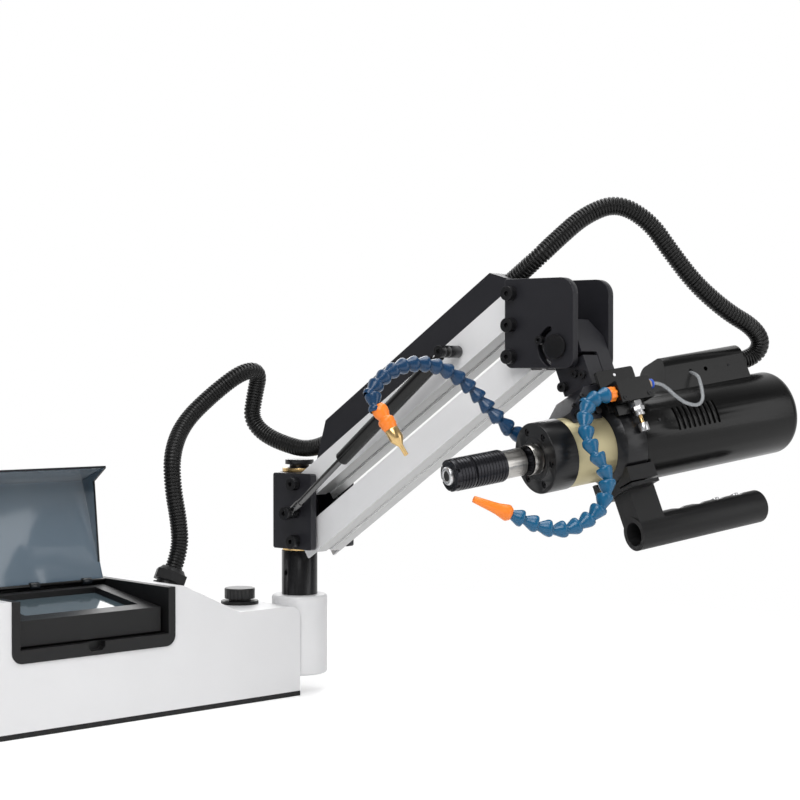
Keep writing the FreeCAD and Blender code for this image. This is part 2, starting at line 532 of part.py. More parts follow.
def make_swivel():
    """Housing that turns on the column's journal, its bushes and the two side plates."""
    housing = Piece("swivel_housing")
    housing.rod(("0", "0", "housing_low"), "housing_radius", "housing_height")
    housing.block(("0 - housing_plate_back", "0 - plate_gap * 0.5", "housing_low"),
                  ("housing_web - housing_plate_back", "plate_gap * 0.5", "housing_low + housing_height"))
    housing.rod(("0", "0", "housing_low - overrun"), "journal_radius + bush_wall",
                "housing_height + overrun * 2", cut=True)
    bushes = Piece("column_bushes")
    for low in ("housing_low - bush_flange", "housing_low + housing_height"):
        bushes.rod(("0", "0", low), "bush_flange_radius", "bush_flange")
    bushes.rod(("0", "0", "housing_low"), "journal_radius + bush_wall", "housing_height")
    bushes.rod(("0", "0", "0"), "journal_radius + running_gap", "housing_low * 2", cut=True)
    bushes.block(("0 - housing_radius", "0 - housing_radius", "housing_low + housing_height * 0.3"),
                 ("housing_radius", "housing_radius", "housing_low + housing_height * 0.7"), cut=True)
    for label, side in (("housing_plate_front", "0 - plate_gap * 0.5 - plate_thickness"),
                        ("housing_plate_rear", "plate_gap * 0.5")):
        plate = Piece(label)
        plate.block(("0 - housing_plate_back", side, "housing_low"),
                    ("housing_plate_length - housing_plate_back", side + " + plate_thickness",
                     "housing_low + housing_height"))
        plate.soften("plate_round", lambda edge: along(edge, "y"))
        for up in ("lower_pivot_height", "lower_pivot_height + pivot_spacing"):
            plate.rod(("pivot_forward", side + " - overrun", up), "bolt_radius",
                      "plate_thickness + overrun * 2", axis="y", cut=True)
    bolts = Piece("housing_bolts")
    for up in ("lower_pivot_height", "lower_pivot_height + pivot_spacing"):
        long_bolt(bolts, "pivot_forward", up)
    eye = "lower_pivot_height + gas_eye_height"
    bolts.rod(("pivot_forward", "0 - gas_plane + gas_eye_width * 0.5 + fit_gap", eye), "gas_collar_radius",
              "gas_plane - gas_eye_width * 0.5 - fit_gap - plate_gap * 0.5 - plate_thickness", axis="y")
    bolts.rod(("pivot_forward", "bolt_socket_depth - gas_bolt_end", eye), "gas_bolt_radius",
              "gas_bolt_end - bolt_socket_depth - plate_gap * 0.5 - plate_thickness", axis="y")
    bolts.rod(("pivot_forward", "0 - gas_bolt_end", eye), "bolt_head_radius",
              "gas_bolt_end - gas_plane - gas_eye_width * 0.5 - fit_gap", axis="y")
    bolts.hexagon(("pivot_forward", "0 - gas_bolt_end - overrun", eye), "bolt_socket_radius",
                  "bolt_socket_depth + overrun", axis="y", cut=True)


def long_bolt(bolts, across, up):
    """Pivot bolt through both plates with a socket head in front and a nut behind."""
    face = "plate_gap * 0.5 + plate_thickness"
    front = "0 " + less(face)
    bolts.rod((across, front + " - bolt_head", up), "bolt_head_radius", "bolt_head", axis="y")
    bolts.rod((across, front, up), "bolt_radius", "plate_gap + plate_thickness * 2 + nut_height", axis="y")
    bolts.hexagon((across, face, up), "bolt_head_radius", "nut_height", axis="y")
    bolts.hexagon((across, front + " - bolt_head - overrun", up), "bolt_socket_radius",
                  "bolt_socket_depth + overrun", axis="y", cut=True)


def make_profile(label, bushes_label, far_play):
    """Hollow arm profile with grooved faces, cut back round the column, and its flanged pivot bushes."""
    profile = Piece(label)
    top = "profile_height - profile_below"
    profile.block(("0 - profile_end", "0 - profile_width * 0.5", "0 - profile_below"),
                  ("link_length + profile_end", "profile_width * 0.5", top))
    profile.block(("0 - profile_end - overrun", "0 - profile_inner * 0.5", "profile_wall - profile_below"),
                  ("link_length + profile_end + overrun", "profile_inner * 0.5", top + " - profile_wall"), cut=True)
    profile.block(("0 - profile_end - overrun", "0 - profile_inner * 0.5", "0 - profile_below - overrun"),
                  ("notch_reach", "profile_inner * 0.5", top + " + overrun"), cut=True)
    for low in ("0 - profile_below - overrun", top + " - slot_depth"):
        profile.block(("0 - profile_end - overrun", "0 - slot_width * 0.5", low),
                      ("link_length + profile_end + overrun", "slot_width * 0.5", low + " + slot_depth + overrun"),
                      cut=True)
    bushes = Piece(bushes_label)
    wall = "profile_width * 0.5 - profile_inner * 0.5"
    for along_link, play in (("0", "running_gap"), ("link_length", far_play)):
        profile.rod((along_link, "0 - profile_width", "0"), "bolt_radius + bush_wall * 0.5",
                    "profile_width * 2", axis="y", cut=True)
        for side in ("0 - profile_width * 0.5 - bush_flange", "profile_width * 0.5"):
            bushes.rod((along_link, side, "0"), "collar_radius", "bush_flange", axis="y")
        for side in ("0 - profile_width * 0.5", "profile_inner * 0.5"):
            bushes.rod((along_link, side, "0"), "bolt_radius + bush_wall * 0.5", wall, axis="y")
        bushes.rod((along_link, "0 - profile_width", "0"), "bolt_radius + " + play, "profile_width * 2",
                   axis="y", cut=True)


def make_cable_cover():
    """Folded black cover on the upper profile that hides the cable between the two conduits."""
    cover = Piece("cable_cover")
    base = "profile_height - profile_below"
    crown = base + " + cover_height"
    cover.outline([("cover_low_start", base), ("cover_low_end", base), ("cover_high_end", crown),
                   ("cover_high_start", crown)], "0 - profile_width * 0.5", "profile_width")
    cover.outline([("cover_low_start + cover_wall * 2", base + " - overrun"),
                   ("cover_low_end - cover_wall * 2", base + " - overrun"),
                   ("cover_high_end - cover_wall", crown + " - cover_wall"),
                   ("cover_high_start + cover_wall", crown + " - cover_wall")],
                  "cover_wall - profile_width * 0.5", "profile_width - cover_wall * 2", cut=True)
    for start, end in (("cover_low_start - overrun", "cover_high_start + overrun"),
                       ("cover_high_end - overrun", "cover_low_end + overrun")):
        cover.rod((start, "0", "port_up"), "cover_port", end + less(start), axis="x", cut=True)


def make_gas_spring():
    """Gas spring: rod with its lower eye, tube with its upper eye, and the stud on the upper link."""
    rod = Piece("gas_rod")
    half = "gas_eye_width * 0.5"
    rod.rod(("0", "0 - " + half, "0"), "gas_eye_radius", "gas_eye_width", axis="y")
    rod.rod(("gas_eye_radius * 0.8", "0", "0"), "gas_rod_radius", "gas_tube_start + gas_tube_length * 0.2", axis="x")
    rod.rod(("bolt_head_radius + fit_gap * 2", "0", "0"), "gas_neck_radius", "gas_eye_radius * 2", axis="x")
    rod.rod(("0", "0 - gas_eye_width", "0"), "gas_bolt_radius + running_gap", "gas_eye_width * 2",
            axis="y", cut=True)
    tube = Piece("gas_tube")
    tube.rod(("gas_tube_start", "0", "0"), "gas_tube_radius", "gas_tube_length", axis="x")
    tube.soften("cover_wall", lambda edge: near(edge, "x", "gas_tube_start")
                or near(edge, "x", "gas_tube_start + gas_tube_length"))
    tube.rod(("gas_tube_start + gas_eye_width", "0", "0"), "gas_tube_radius - cover_wall",
             "gas_tube_length - gas_eye_width * 2", axis="x", cut=True)
    tube.rod(("gas_tube_start - overrun", "0", "0"), "gas_rod_radius + running_gap", "gas_eye_width + overrun * 2",
             axis="x", cut=True)
    tube.rod(("gas_tube_start + gas_tube_length - overrun", "0", "0"), "gas_neck_radius",
             "gas_reach - gas_tube_start - gas_tube_length + overrun - bolt_head_radius", axis="x")
    tube.rod(("gas_tube_start + gas_tube_length", "0", "0"), "gas_rod_radius - running_gap",
             "gas_reach - gas_tube_start - gas_tube_length - gas_eye_radius * 0.8", axis="x")
    tube.rod(("gas_reach", "0 - " + half, "0"), "gas_eye_radius", "gas_eye_width", axis="y")
    tube.rod(("gas_reach", "0 - gas_eye_width", "0"), "gas_bolt_radius", "gas_eye_width * 2", axis="y", cut=True)
    stud = Piece("gas_upper_stud")
    stud.rod(("gas_reach", "0 - " + half + " - bolt_head * 0.8", "0"), "gas_eye_radius", "bolt_head * 0.8", axis="y")
    stud.rod(("gas_reach", "0 - " + half, "0"), "gas_bolt_radius", "gas_eye_width", axis="y")
    stud.rod(("gas_reach", half, "0"), "gas_collar_radius",
             "gas_plane - profile_width * 0.5 - gas_eye_width * 0.5 - side_gap", axis="y")
    stud.hexagon(("gas_reach", "0 - " + half + " - bolt_head - overrun", "0"), "bolt_socket_radius",
                 "bolt_socket_depth + overrun", axis="y", cut=True)


def make_head_plates():
    """Two head plates with large upper corners, tied by the pivot bolts and the tilt pin."""
    for label, side in (("head_plate_front", "0 - plate_gap * 0.5 - plate_thickness"),
                        ("head_plate_rear", "plate_gap * 0.5")):
        plate = Piece(label)
        front = "head_plate_length - head_plate_back"
        crown = "head_plate_height - head_plate_below"
        plate.block(("0 - head_plate_back", side, "0 - head_plate_below"), (front, side + " + plate_thickness", crown))
        plate.soften("head_round_large", lambda edge: along(edge, "y") and near(edge, "x", front)
                     and near(edge, "z", crown))
        plate.soften("head_round_small", lambda edge: along(edge, "y") and near(edge, "z", "0 - head_plate_below"))
        plate.soften("plate_round", lambda edge: along(edge, "y") and near(edge, "x", "0 - head_plate_back")
                     and near(edge, "z", crown))
        for up in ("0", "pivot_spacing * 0.5", "pivot_spacing"):
            plate.rod(("0", side + " - overrun", up), "bolt_radius", "plate_thickness + overrun * 2",
                      axis="y", cut=True)
        plate.rod(("tilt_pin_forward", side + " - overrun", "tilt_pin_up"), "tilt_pin_radius + running_gap",
                  "plate_thickness + overrun * 2", axis="y", cut=True)
        cut_tilt_slot(label)
    bolts = Piece("head_bolts")
    for up in ("0", "pivot_spacing"):
        long_bolt(bolts, "0", up)
    face = "plate_gap * 0.5 + plate_thickness"
    middle = "pivot_spacing * 0.5"
    for start, hole in (("0 - plate_gap * 0.5 - plate_thickness - bolt_head",
                         "0 - plate_gap * 0.5 - plate_thickness - bolt_head - overrun"),
                        (face, face + " + bolt_head - bolt_socket_depth")):
        bolts.rod(("0", start, middle), "bolt_head_radius", "bolt_head", axis="y")
        bolts.hexagon(("0", hole, middle), "bolt_socket_radius", "bolt_socket_depth + overrun", axis="y", cut=True)
    for start in ("0 - plate_gap * 0.5 - plate_thickness", "plate_gap * 0.5"):
        bolts.rod(("0", start, middle), "bolt_radius", "plate_thickness", axis="y")


def cut_tilt_slot(label):
    """Cuts the arc slot of the tilt lock through a head plate."""
    body = pieces[label]
    document.recompute()
    middle = given("slot_radius")
    half = given("slot_half")
    first, last = math.radians(given("slot_from")), math.radians(given("slot_to"))
    centre = spot("tilt_pin_forward", "0 - plate_gap", "tilt_pin_up")

    def on_arc(radius, angle):
        return centre + Vector(math.cos(angle), 0, math.sin(angle)) * radius

    def arc(radius, start, stop):
        return Part.Arc(on_arc(radius, start), on_arc(radius, (start + stop) / 2), on_arc(radius, stop)).toShape()

    def end(angle, way):
        tip = on_arc(middle, angle) + Vector(-math.sin(angle), 0, math.cos(angle)) * half * way
        return Part.Arc(on_arc(middle + half * way, angle), tip, on_arc(middle - half * way, angle)).toShape()

    wire = Part.Wire([arc(middle + half, first, last), end(last, 1), arc(middle - half, last, first), end(first, -1)])
    tool = document.addObject("Part::Feature", label + "_slot")
    tool.Shape = Part.Face(wire).extrude(Vector(0, given("plate_gap") * 2, 0))
    slotted = document.addObject("Part::Cut", label + "_slotted")
    slotted.Base = body
    slotted.Tool = tool
    body.Label = label + "_blank"
    slotted.Label = label
    pieces[label] = slotted


def make_tilt():
    """Pin the neck tilts on, the screw that locks it in the arc slot, and the split neck on the pin."""
    face = "plate_gap * 0.5 + plate_thickness"
    pin = Piece("tilt_pin")
    pin.rod(("0", "0 " + less(face) + " - fit_gap", "0"), "tilt_pin_radius", "plate_gap + plate_thickness * 2 + fit_gap",
            axis="y")
    pin.rod(("0", "0 " + less(face) + " - fit_gap - tilt_disc", "0"), "tilt_disc_radius", "tilt_disc", axis="y")
    turn = math.radians(given("lock_angle") - given("head_tilt"))
    across = "slot_radius * %.5f" % math.cos(turn)
    up = "slot_radius * %.5f" % math.sin(turn)
    lock = Piece("tilt_lock_screw")
    lock.rod((across, "0 " + less(face) + " - fit_gap", up), "lock_radius",
             face + " + fit_gap - neck_front + lock_head", axis="y")
    lock.rod((across, "0 " + less(face) + " - fit_gap - lock_head", up), "lock_head_radius", "lock_head", axis="y")
    lock.hexagon((across, "0 " + less(face) + " - fit_gap - lock_head - overrun", up), "lock_radius * 0.8",
                 "lock_head * 0.5 + overrun", axis="y", cut=True)
    neck = Piece("neck_block")
    neck.block(("0 - neck_half", "0 - neck_front", "0 - neck_bottom"), ("neck_half", "neck_rear", "neck_top"))
    neck.soften("neck_chamfer", lambda edge: along(edge, "x") and near(edge, "y", "neck_rear")
                and near(edge, "z", "neck_top"), kind="Chamfer")
    neck.block(("0 - neck_half - overrun", "0 - neck_front - overrun", "0 - neck_bottom - overrun"),
               ("neck_half + overrun", "tongue_rear + split_gap", "split_gap * 2 - tongue_top"), cut=True)
    neck.rod(("0", "0 - neck_front - overrun", "0"), "tilt_pin_radius", "neck_front + neck_rear + overrun * 2",
             axis="y", cut=True)
    neck.rod((across, "0 - neck_front - overrun", up), "lock_radius", "lock_head + overrun", axis="y", cut=True)
    tongue = Piece("neck_tongue")
    tongue.block(("0 - neck_half", "0 - neck_front", "0 - neck_bottom"), ("neck_half", "tongue_rear", "0 - tongue_top"))
    for piece in (neck, tongue):
        piece.rod(("0", "0", "0 - neck_bottom - overrun"), "post_radius + running_gap",
                  "overrun + post_depth + fit_gap", cut=True)
    screws = Piece("neck_screws")
    for side, drop in (("small_screw_one", "small_screw_drop"), ("small_screw_two", "small_screw_low")):
        screws.rod((side, "0 - neck_front - neck_screw_head", "0 - " + drop), "neck_screw_head",
                   "neck_screw_head", axis="y")
        screws.hexagon((side, "0 - neck_front - neck_screw_head - overrun", "0 - " + drop),
                       "neck_screw_radius * 0.7", "neck_screw_head * 0.5 + overrun", axis="y", cut=True)
    clamp = ("0 - clamp_side", "0 - clamp_drop")
    for piece in (neck, tongue):
        piece.rod((clamp[0], "0 - neck_front - overrun", clamp[1]), "clamp_bolt_radius",
                  "neck_front + neck_rear - clamp_head + overrun", axis="y", cut=True)
    screws.rod((clamp[0], "0 - neck_front", clamp[1]), "clamp_bolt_radius", "neck_front + neck_rear - clamp_head",
               axis="y")
    screws.rod((clamp[0], "0 - neck_front - clamp_head", clamp[1]), "clamp_head_radius", "clamp_head", axis="y")
    screws.hexagon((clamp[0], "0 - neck_front - clamp_head - overrun", clamp[1]), "clamp_bolt_radius * 0.9",
                   "clamp_head * 0.5 + overrun", axis="y", cut=True)


def make_saddle():
    """Block that sits on the gear housing, with the post that the head swivels on."""
    saddle = Piece("saddle")
    saddle.outline([("saddle_from", "saddle_low"), ("saddle_to", "saddle_low"), ("saddle_to", "saddle_step"),
                    ("saddle_tip", "saddle_step"), ("saddle_tip", "saddle_top"), ("saddle_crest", "saddle_top"),
                    ("saddle_from", "saddle_shoulder")],
                   "0 - saddle_half", "saddle_half * 2")
    saddle.rod(("0", "0", "saddle_top"), "post_radius", "spindle_drop - neck_bottom + post_depth - saddle_top")
    saddle.rod(("saddle_from - overrun", "0", "0"), "housing_outer + fit_gap", "saddle_tip * 2 - saddle_from + overrun",
               axis="x", cut=True)
    screws = Piece("housing_screws")
    for along_axis in ("saddle_from + screw_inset", "saddle_to - screw_head_radius - fit_gap * 2"):
        for side in ("0 - saddle_half - screw_head", "saddle_half"):
            screws.rod((along_axis, side, "saddle_low + screw_inset * 1.5"), "screw_head_radius",
                       "screw_head", axis="y")
    count = 6
    for step in range(count):
        turn = "%.1f" % (step * 360 / count + 30)
        spot_on_ring = ("screw_ring * cos(%s)" % turn, "screw_ring * sin(%s)" % turn)
        screws.rod(("flange_start + screw_sunk",) + spot_on_ring, "screw_head_radius", "screw_head - screw_sunk",
                   axis="x")
        screws.rod(("flange_start + screw_head",) + spot_on_ring, "screw_radius", "screw_length", axis="x")
        screws.hexagon(("flange_start - overrun",) + spot_on_ring, "screw_radius * 0.8",
                       "screw_head * 0.8 + overrun", axis="x", cut=True)


def make_spindle_housing():
    """Gold gear housing, dark front flange, bearings and the ring that takes the motor."""
    gear = Piece("gear_housing")
    gear.rod(("gold_start", "0", "0"), "housing_outer", "ring_start - gold_start", axis="x")
    gear.rod(("gold_start - overrun", "0", "0"), "housing_bore", "ring_start - gold_start + overrun * 2",
             axis="x", cut=True)
    flange = Piece("front_flange")
    flange.rod(("flange_start", "0", "0"), "flange_outer", "gold_start - flange_start", axis="x")
    flange.soften("groove_width", lambda edge: near(edge, "x", "flange_start"))
    flange.ring(("flange_start", "0", "0"), "groove_radius", "groove_width * 0.5", axis="x", cut=True)
    flange.rod(("flange_start + flange_lip", "0", "0"), "housing_bore",
               "gold_start - flange_start - flange_lip + overrun", axis="x", cut=True)
    flange.rod(("flange_start - overrun", "0", "0"), "silver_radius + fit_gap", "flange_lip + overrun * 2",
               axis="x", cut=True)
    count = 6
    for step in range(count):
        turn = "%.1f" % (step * 360 / count + 30)
        spot_on_ring = ("screw_ring * cos(%s)" % turn, "screw_ring * sin(%s)" % turn)
        flange.rod(("flange_start - overrun",) + spot_on_ring, "screw_head_radius + fit_gap",
                   "screw_head + overrun", axis="x", cut=True)
        flange.rod(("flange_start",) + spot_on_ring, "screw_radius", "screw_head + screw_length", axis="x", cut=True)
    bearings = Piece("spindle_bearings")
    for start in ("flange_start + flange_lip", "gold_start - bearing_width", "ring_start - bearing_width"):
        bearings.rod((start, "0", "0"), "housing_bore", "bearing_width", axis="x")
        bearings.rod((start + " - fit_gap", "0", "0"), "shaft_radius + running_gap", "bearing_width + fit_gap * 2",
                     axis="x", cut=True)
    ring = Piece("motor_ring")
    ring.taper(("ring_start", "0", "0"), "housing_outer", "motor_outer", "ring_full - ring_start", axis="x")
    ring.rod(("ring_full", "0", "0"), "motor_outer", "cover_from - ring_full", axis="x")
    ring.rod(("ring_start - overrun", "0", "0"), "shaft_radius + fit_gap * 2", "cover_from - ring_start + overrun * 2",
             axis="x", cut=True)


def make_motor():
    """Servo motor, the vented cover over it and the cable box on the cover."""
    motor = Piece("servo_motor")
    motor.rod(("cover_from", "0", "0"), "motor_radius", "motor_length", axis="x")
    cover = Piece("motor_cover")
    cover.rod(("cover_from", "0", "0"), "motor_outer", "cover_rear - cover_from", axis="x")
    cover.soften("cover_round", lambda edge: near(edge, "x", "cover_rear"))
    cover.rod(("cover_from - overrun", "0", "0"), "motor_outer - cover_shell",
              "cover_rear - cover_round - cover_from + overrun", axis="x", cut=True)
    cover.rod(("cover_from", "0", "0"), "motor_outer - cover_round", "cover_rear - cover_shell - cover_from",
              axis="x", cut=True)
    for step in range(int(given("vent_count"))):
        start = "vent_from + vent_pitch * %d" % step
        cover.block((start, "0 - motor_outer - overrun", "vent_low"),
                    (start + " + vent_width", "0 - motor_radius - fit_gap", "vent_low + vent_length"), cut=True)
    cover.rod(("box_rear * 0.7", "0", "motor_radius + fit_gap"), "box_port", "motor_outer", cut=True)
    box = Piece("cable_box")
    box.outline([("box_front", "box_foot"), ("box_rear", "box_foot"), ("box_rear", "box_top"),
                 ("box_front + box_slope", "box_top")], "0 - box_half", "box_half * 2")
    box.soften("box_round", lambda edge: along(edge, "x") and near(edge, "z", "box_top"))
    start = "box_front + box_slope + box_wall"
    box.block((start, "box_wall - box_half", "box_foot - overrun"),
              ("box_rear - box_wall", "box_half - box_wall", "box_top - box_round"), cut=True)
    box.block((start, "box_round - box_half", "box_foot"),
              ("box_rear - box_wall", "box_half - box_round", "box_top - box_wall"), cut=True)
    box.rod(("box_front - overrun", "0", "0"), "motor_outer + fit_gap", "box_rear", axis="x", cut=True)
    box.rod(("box_rear - box_wall - overrun", "0", "box_port_height"), "box_port", "box_wall + overrun * 2",
            axis="x", cut=True)
    for along_axis in ("box_hole_one", "box_hole_two"):
        box.rod((along_axis, "0 - box_half - overrun", "box_hole_height"), "box_hole_radius",
                "box_wall + overrun * 2", axis="y", cut=True)


def make_handle():
    """Ear under the motor ring, the leg, the grooved hollow grip and its two push buttons."""
    handle = Piece("handle")
    handle.block(("ear_from", "0 - ear_half", "ear_low"), ("ear_to", "ear_half", "ear_high"))
    handle.block(("leg_from", "0 - leg_half", "0 - grip_drop"), ("leg_to", "leg_half", "ear_low + overrun"))
    handle.rod(("grip_from", "0", "0 - grip_drop"), "grip_radius", "grip_to - grip_from", axis="x")
    handle.soften("grip_wall_end * 0.5", lambda edge: near(edge, "x", "grip_to"))
    handle.rod(("ear_from - overrun", "0", "0"), "motor_outer + fit_gap", "ear_to - ear_from + overrun * 2",
               axis="x", cut=True)
    handle.block(("ear_from - overrun", "0 - ear_half - overrun", "ear_split"),
                 ("ear_to + overrun", "0 - split_reach", "ear_split + split_gap"), cut=True)
    top = "grip_radius - finger_depth - grip_drop"
    for step in range(int(given("finger_count"))):
        at = "finger_first + finger_pitch * %d" % step
        handle.rod((at, "0 - grip_radius - overrun", top + " + finger_radius"), "finger_radius",
                   "grip_radius * 2 + overrun * 2", axis="y", cut=True)
    handle.rod(("grip_from - overrun", "0", "0 - grip_drop"), "grip_bore",
               "grip_to - grip_from - grip_wall_end + overrun", axis="x", cut=True)
    for label, step in (("button_front", 2), ("button_rear", 3)):
        at = "finger_first + finger_pitch * %d" % step
        handle.rod((at, "0", top + " - finger_depth * 2"), "button_radius + running_gap * 2", "finger_radius", cut=True)
        button = Piece(label)
        button.rod((at, "0", top + " - button_sunk"), "button_radius", "button_sunk + button_proud")
        button.soften("fit_gap * 4", lambda edge: near(edge, "z", top + " + button_proud"))
        button.rod((at, "0", top + " - button_sunk - button_flange_height"), "button_flange", "button_flange_height")


def make_mist():
    """Bracket, valve, fittings and knob of the mist cooling, and the outlet block on the far side."""
    bracket = Piece("mist_bracket")
    bracket.block(("bracket_from", "bracket_face", "foot_low"),
                  ("bracket_to", "bracket_face + bracket_thickness", "bracket_high"))
    bracket.soften("bracket_thickness * 0.6", lambda edge: along(edge, "y") and near(edge, "z", "bracket_high"))
    bracket.block(("foot_from", "bracket_face - foot_reach", "foot_low"), ("foot_to", "bracket_face + overrun", "foot_high"))
    bracket.rod(("bracket_from - overrun", "0", "0"), "motor_outer + fit_gap", "bracket_to - bracket_from + overrun * 2",
                axis="x", cut=True)
    bracket.block(("manifold_from", "saddle_half", "rear_outlet_height - manifold_height * 0.5"),
                  ("manifold_to", "saddle_half + manifold_reach", "rear_outlet_height + manifold_height * 0.5"))
    valve = Piece("mist_valve")
    valve.block(("valve_from", "bracket_face - valve_depth", "valve_low"), ("valve_to", "bracket_face", "valve_high"))
    fittings = Piece("valve_fittings")
    fittings.rod(("valve_from - nut_length", "outlet_depth", "outlet_height"), "nut_radius", "nut_length", axis="x")
    fittings.rod(("manifold_from - nut_length", "rear_outlet_side", "rear_outlet_height"), "nut_radius", "nut_length",
                 axis="x")
    fittings.rod(("valve_to", "outlet_depth", "push_height"), "push_radius", "push_length", axis="x")
    fittings.rod(("valve_to + push_length", "outlet_depth", "push_height"), "ring_radius", "ring_length", axis="x")
    fittings.hexagon(("hex_along", "hex_depth", "valve_low - hex_length"), "hex_radius", "hex_length")
    fittings.rod(("hex_along", "hex_depth", "valve_low - hex_length - stem_length - knob_length * 0.5"), "stem_thin",
                 "stem_length + knob_length * 0.5 + overrun")
    knob = Piece("needle_knob")
    knob.rod(("hex_along", "hex_depth", "valve_low - hex_length - stem_length - knob_length"), "knob_radius",
             "knob_length")
    knob.rod(("hex_along", "hex_depth", "valve_low - hex_length - stem_length - knob_length * 0.5 - fit_gap"),
             "stem_thin + running_gap", "knob_length", cut=True)


def make_spindle():
    """Spindle shaft with its collars, the toothed nose of the quick-change chuck and its sliding sleeve."""
    shaft = Piece("spindle_shaft")
    shaft.rod(("nose_rear", "0", "0"), "collar_outer", "collar_rear - nose_rear", axis="x")
    shaft.rod(("collar_rear - overrun", "0", "0"), "black_radius", "black_rear - collar_rear + overrun * 2", axis="x")
    shaft.rod(("black_rear", "0", "0"), "silver_radius", "shaft_step - black_rear", axis="x")
    shaft.rod(("shaft_step - overrun", "0", "0"), "shaft_radius", "shaft_rear - shaft_step + overrun", axis="x")
    nose = Piece("chuck_nose")
    nose.rod(("nose_front", "0", "0"), "nose_radius", "nose_rear - nose_front", axis="x")
    nose.rod(("nose_front - nose_lip", "0", "0"), "nose_lip_radius", "nose_lip + overrun", axis="x")
    nose.soften("groove_depth", lambda edge: near(edge, "x", "nose_front"))
    count = int(given("nose_slots"))
    for step in range(count):
        turn = "%.1f" % (step * 360 / count)
        nose.rod(("nose_front - overrun", "nose_radius * cos(%s)" % turn, "nose_radius * sin(%s)" % turn),
                 "nose_slot * 0.5", "overrun + nose_slot", axis="x", cut=True)
    for piece in (nose, shaft):
        piece.rod(("nose_front - nose_lip - overrun", "0", "0"), "tap_hole_radius", "tap_hole_depth + overrun",
                  axis="x", cut=True)
    sleeve = Piece("release_sleeve")
    sleeve.rod(("nose_rear", "0", "0"), "sleeve_radius - rib_depth", "sleeve_rear - nose_rear", axis="x")
    count = int(given("rib_count"))
    for step in range(count):
        start = "nose_rear + sleeve_rear * %.4f - nose_rear * %.4f" % (step / count, step / count)
        width = "sleeve_rear * %.4f - nose_rear * %.4f" % (0.6 / count, 0.6 / count)
        sleeve.rod((start, "0", "0"), "sleeve_radius", width, axis="x")
    sleeve.ring(("joint_at", "0", "0"), "sleeve_radius", "joint_width", axis="x", cut=True)
    sleeve.rod(("nose_rear - overrun", "0", "0"), "sleeve_bore", "sleeve_rear - nose_rear + overrun * 2",
               axis="x", cut=True)


def rounded_path(points):
    """Straight runs and tangent arcs through hand-chosen points, with the radii printed."""
    spots = [Vector(*point) for point in points]
    edges, radii, last = [], [], spots[0]
    for before, corner, after in zip(spots, spots[1:], spots[2:]):
        back, ahead = (before - corner), (after - corner)
        turn = math.pi - back.getAngle(ahead)
        cut = 0.45 * min(back.Length, ahead.Length)
        back.normalize()
        ahead.normalize()
        first, second = corner + back * cut, corner + ahead * cut
        radius = cut / math.tan(turn / 2)
        inward = (back + ahead).normalize()
        middle = corner + inward * (radius / math.cos(turn / 2) - radius)
        edges += [Part.LineSegment(last, first).toShape(), Part.Arc(first, middle, second).toShape()]
        radii.append(round(radius, 1))
        last = second
    edges.append(Part.LineSegment(last, spots[-1]).toShape())
    print("bend radii", radii)
    return edges


def at_length(edges, distance):
    """The place and direction on a path at a distance from its start."""
    for edge in edges:
        if distance <= edge.Length or edge is edges[-1]:
            where = edge.getParameterByLength(min(distance, edge.Length))
            return edge.valueAt(where), edge.tangentAt(where)
        distance -= edge.Length


def hose(label, points, profile, pitch, bore):
    """A bored hose whose ribs repeat a profile of places, as shares of the pitch, and radii."""
    edges = rounded_path(points)
    length = sum(edge.Length for edge in edges)
    count = max(1, round(length / pitch))
    step = length / count
    stations = [(step * (rib + share), radius) for rib in range(count) for share, radius in profile]
    stations.append((length, profile[0][1]))
    outer, inner = [], []
    for distance, radius in stations:
        place, tangent = at_length(edges, distance)
        side = tangent.cross(STEADY[label]).normalize()
        for rings, size in ((outer, radius), (inner, bore)):
            ring = Part.Circle(place, tangent, size)
            ring.XAxis = side
            rings.append(Part.Wire(ring.toShape()))
    inner = [ring for ring, station in zip(inner, stations) if station[1] == profile[0][1]]
    faces = [Part.makeFace([outer[end], inner[end]], "Part::FaceMakerBullseye") for end in (0, -1)]
    for rings in (outer, inner):
        for first in range(0, len(rings) - 1, RINGS_PER_LOFT):
            faces += Part.makeLoft(rings[first:first + RINGS_PER_LOFT + 1], False, True).Faces
    shell = Part.Compound(faces)
    shell.sewShape()
    solid = Part.Solid(shell)
    if solid.Volume < 0:
        solid.reverse()
    tube = document.addObject("Part::Feature", label)
    tube.Shape = solid
    pieces[label] = tube
    print(label, "length", round(length, 1), "volume", round(solid.Volume), "valid", solid.isValid())


# Routes of the hoses, in the spindle's frame, and of the conduits, in the frame of the whole machine
near_hose_points = [
    (-18, -50, 43), (-38, -50, 43), (-55, -53, 29), (-64, -56, 10), (-67, -59, -7), (-64, -61, -24),
    (-61, -62, -41), (-65, -62, -57), (-76, -60, -71), (-95, -56, -81), (-118, -52, -85),
    (-140, -48, -82), (-160, -45, -72), (-182, -42, -58),
]
rear_hose_points = [
    (-52, 44, 35), (-70, 44, 35), (-87, 40, 40), (-99, 36, 52), (-110, 37, 71), (-119, 37, 92),
    (-131, 35, 113), (-151, 31, 129), (-174, 27, 138), (-199, 23, 140), (-223, 20, 136),
    (-245, 17, 124), (-256, 15, 104), (-254, 13.5, 84),
]
air_tube_points = [
    (44, -50, 46.5), (52, -50, 46.5), (59, -54, 38), (62, -59, 26), (70, -62, 15), (86, -60, 10), (103, -52, 17),
    (115, -42, 34), (121, -36, 53), (121, -22, 58.5),
]
cabinet_conduit_points = [
    (77.3, -13.5, 163.2), (88.1, -13.5, 186.8), (84, -15, 222), (74, -17, 262), (76, -12, 304),
    (104, 2, 340), (146, 0, 374), (184, -14, 404), (213, -12, 404), (214, 0, 372), (211, 4, 340),
    (226, -20, 316), (248.6, -83.7, 300.8),
    (253.6, -121.2, 326.8),
]
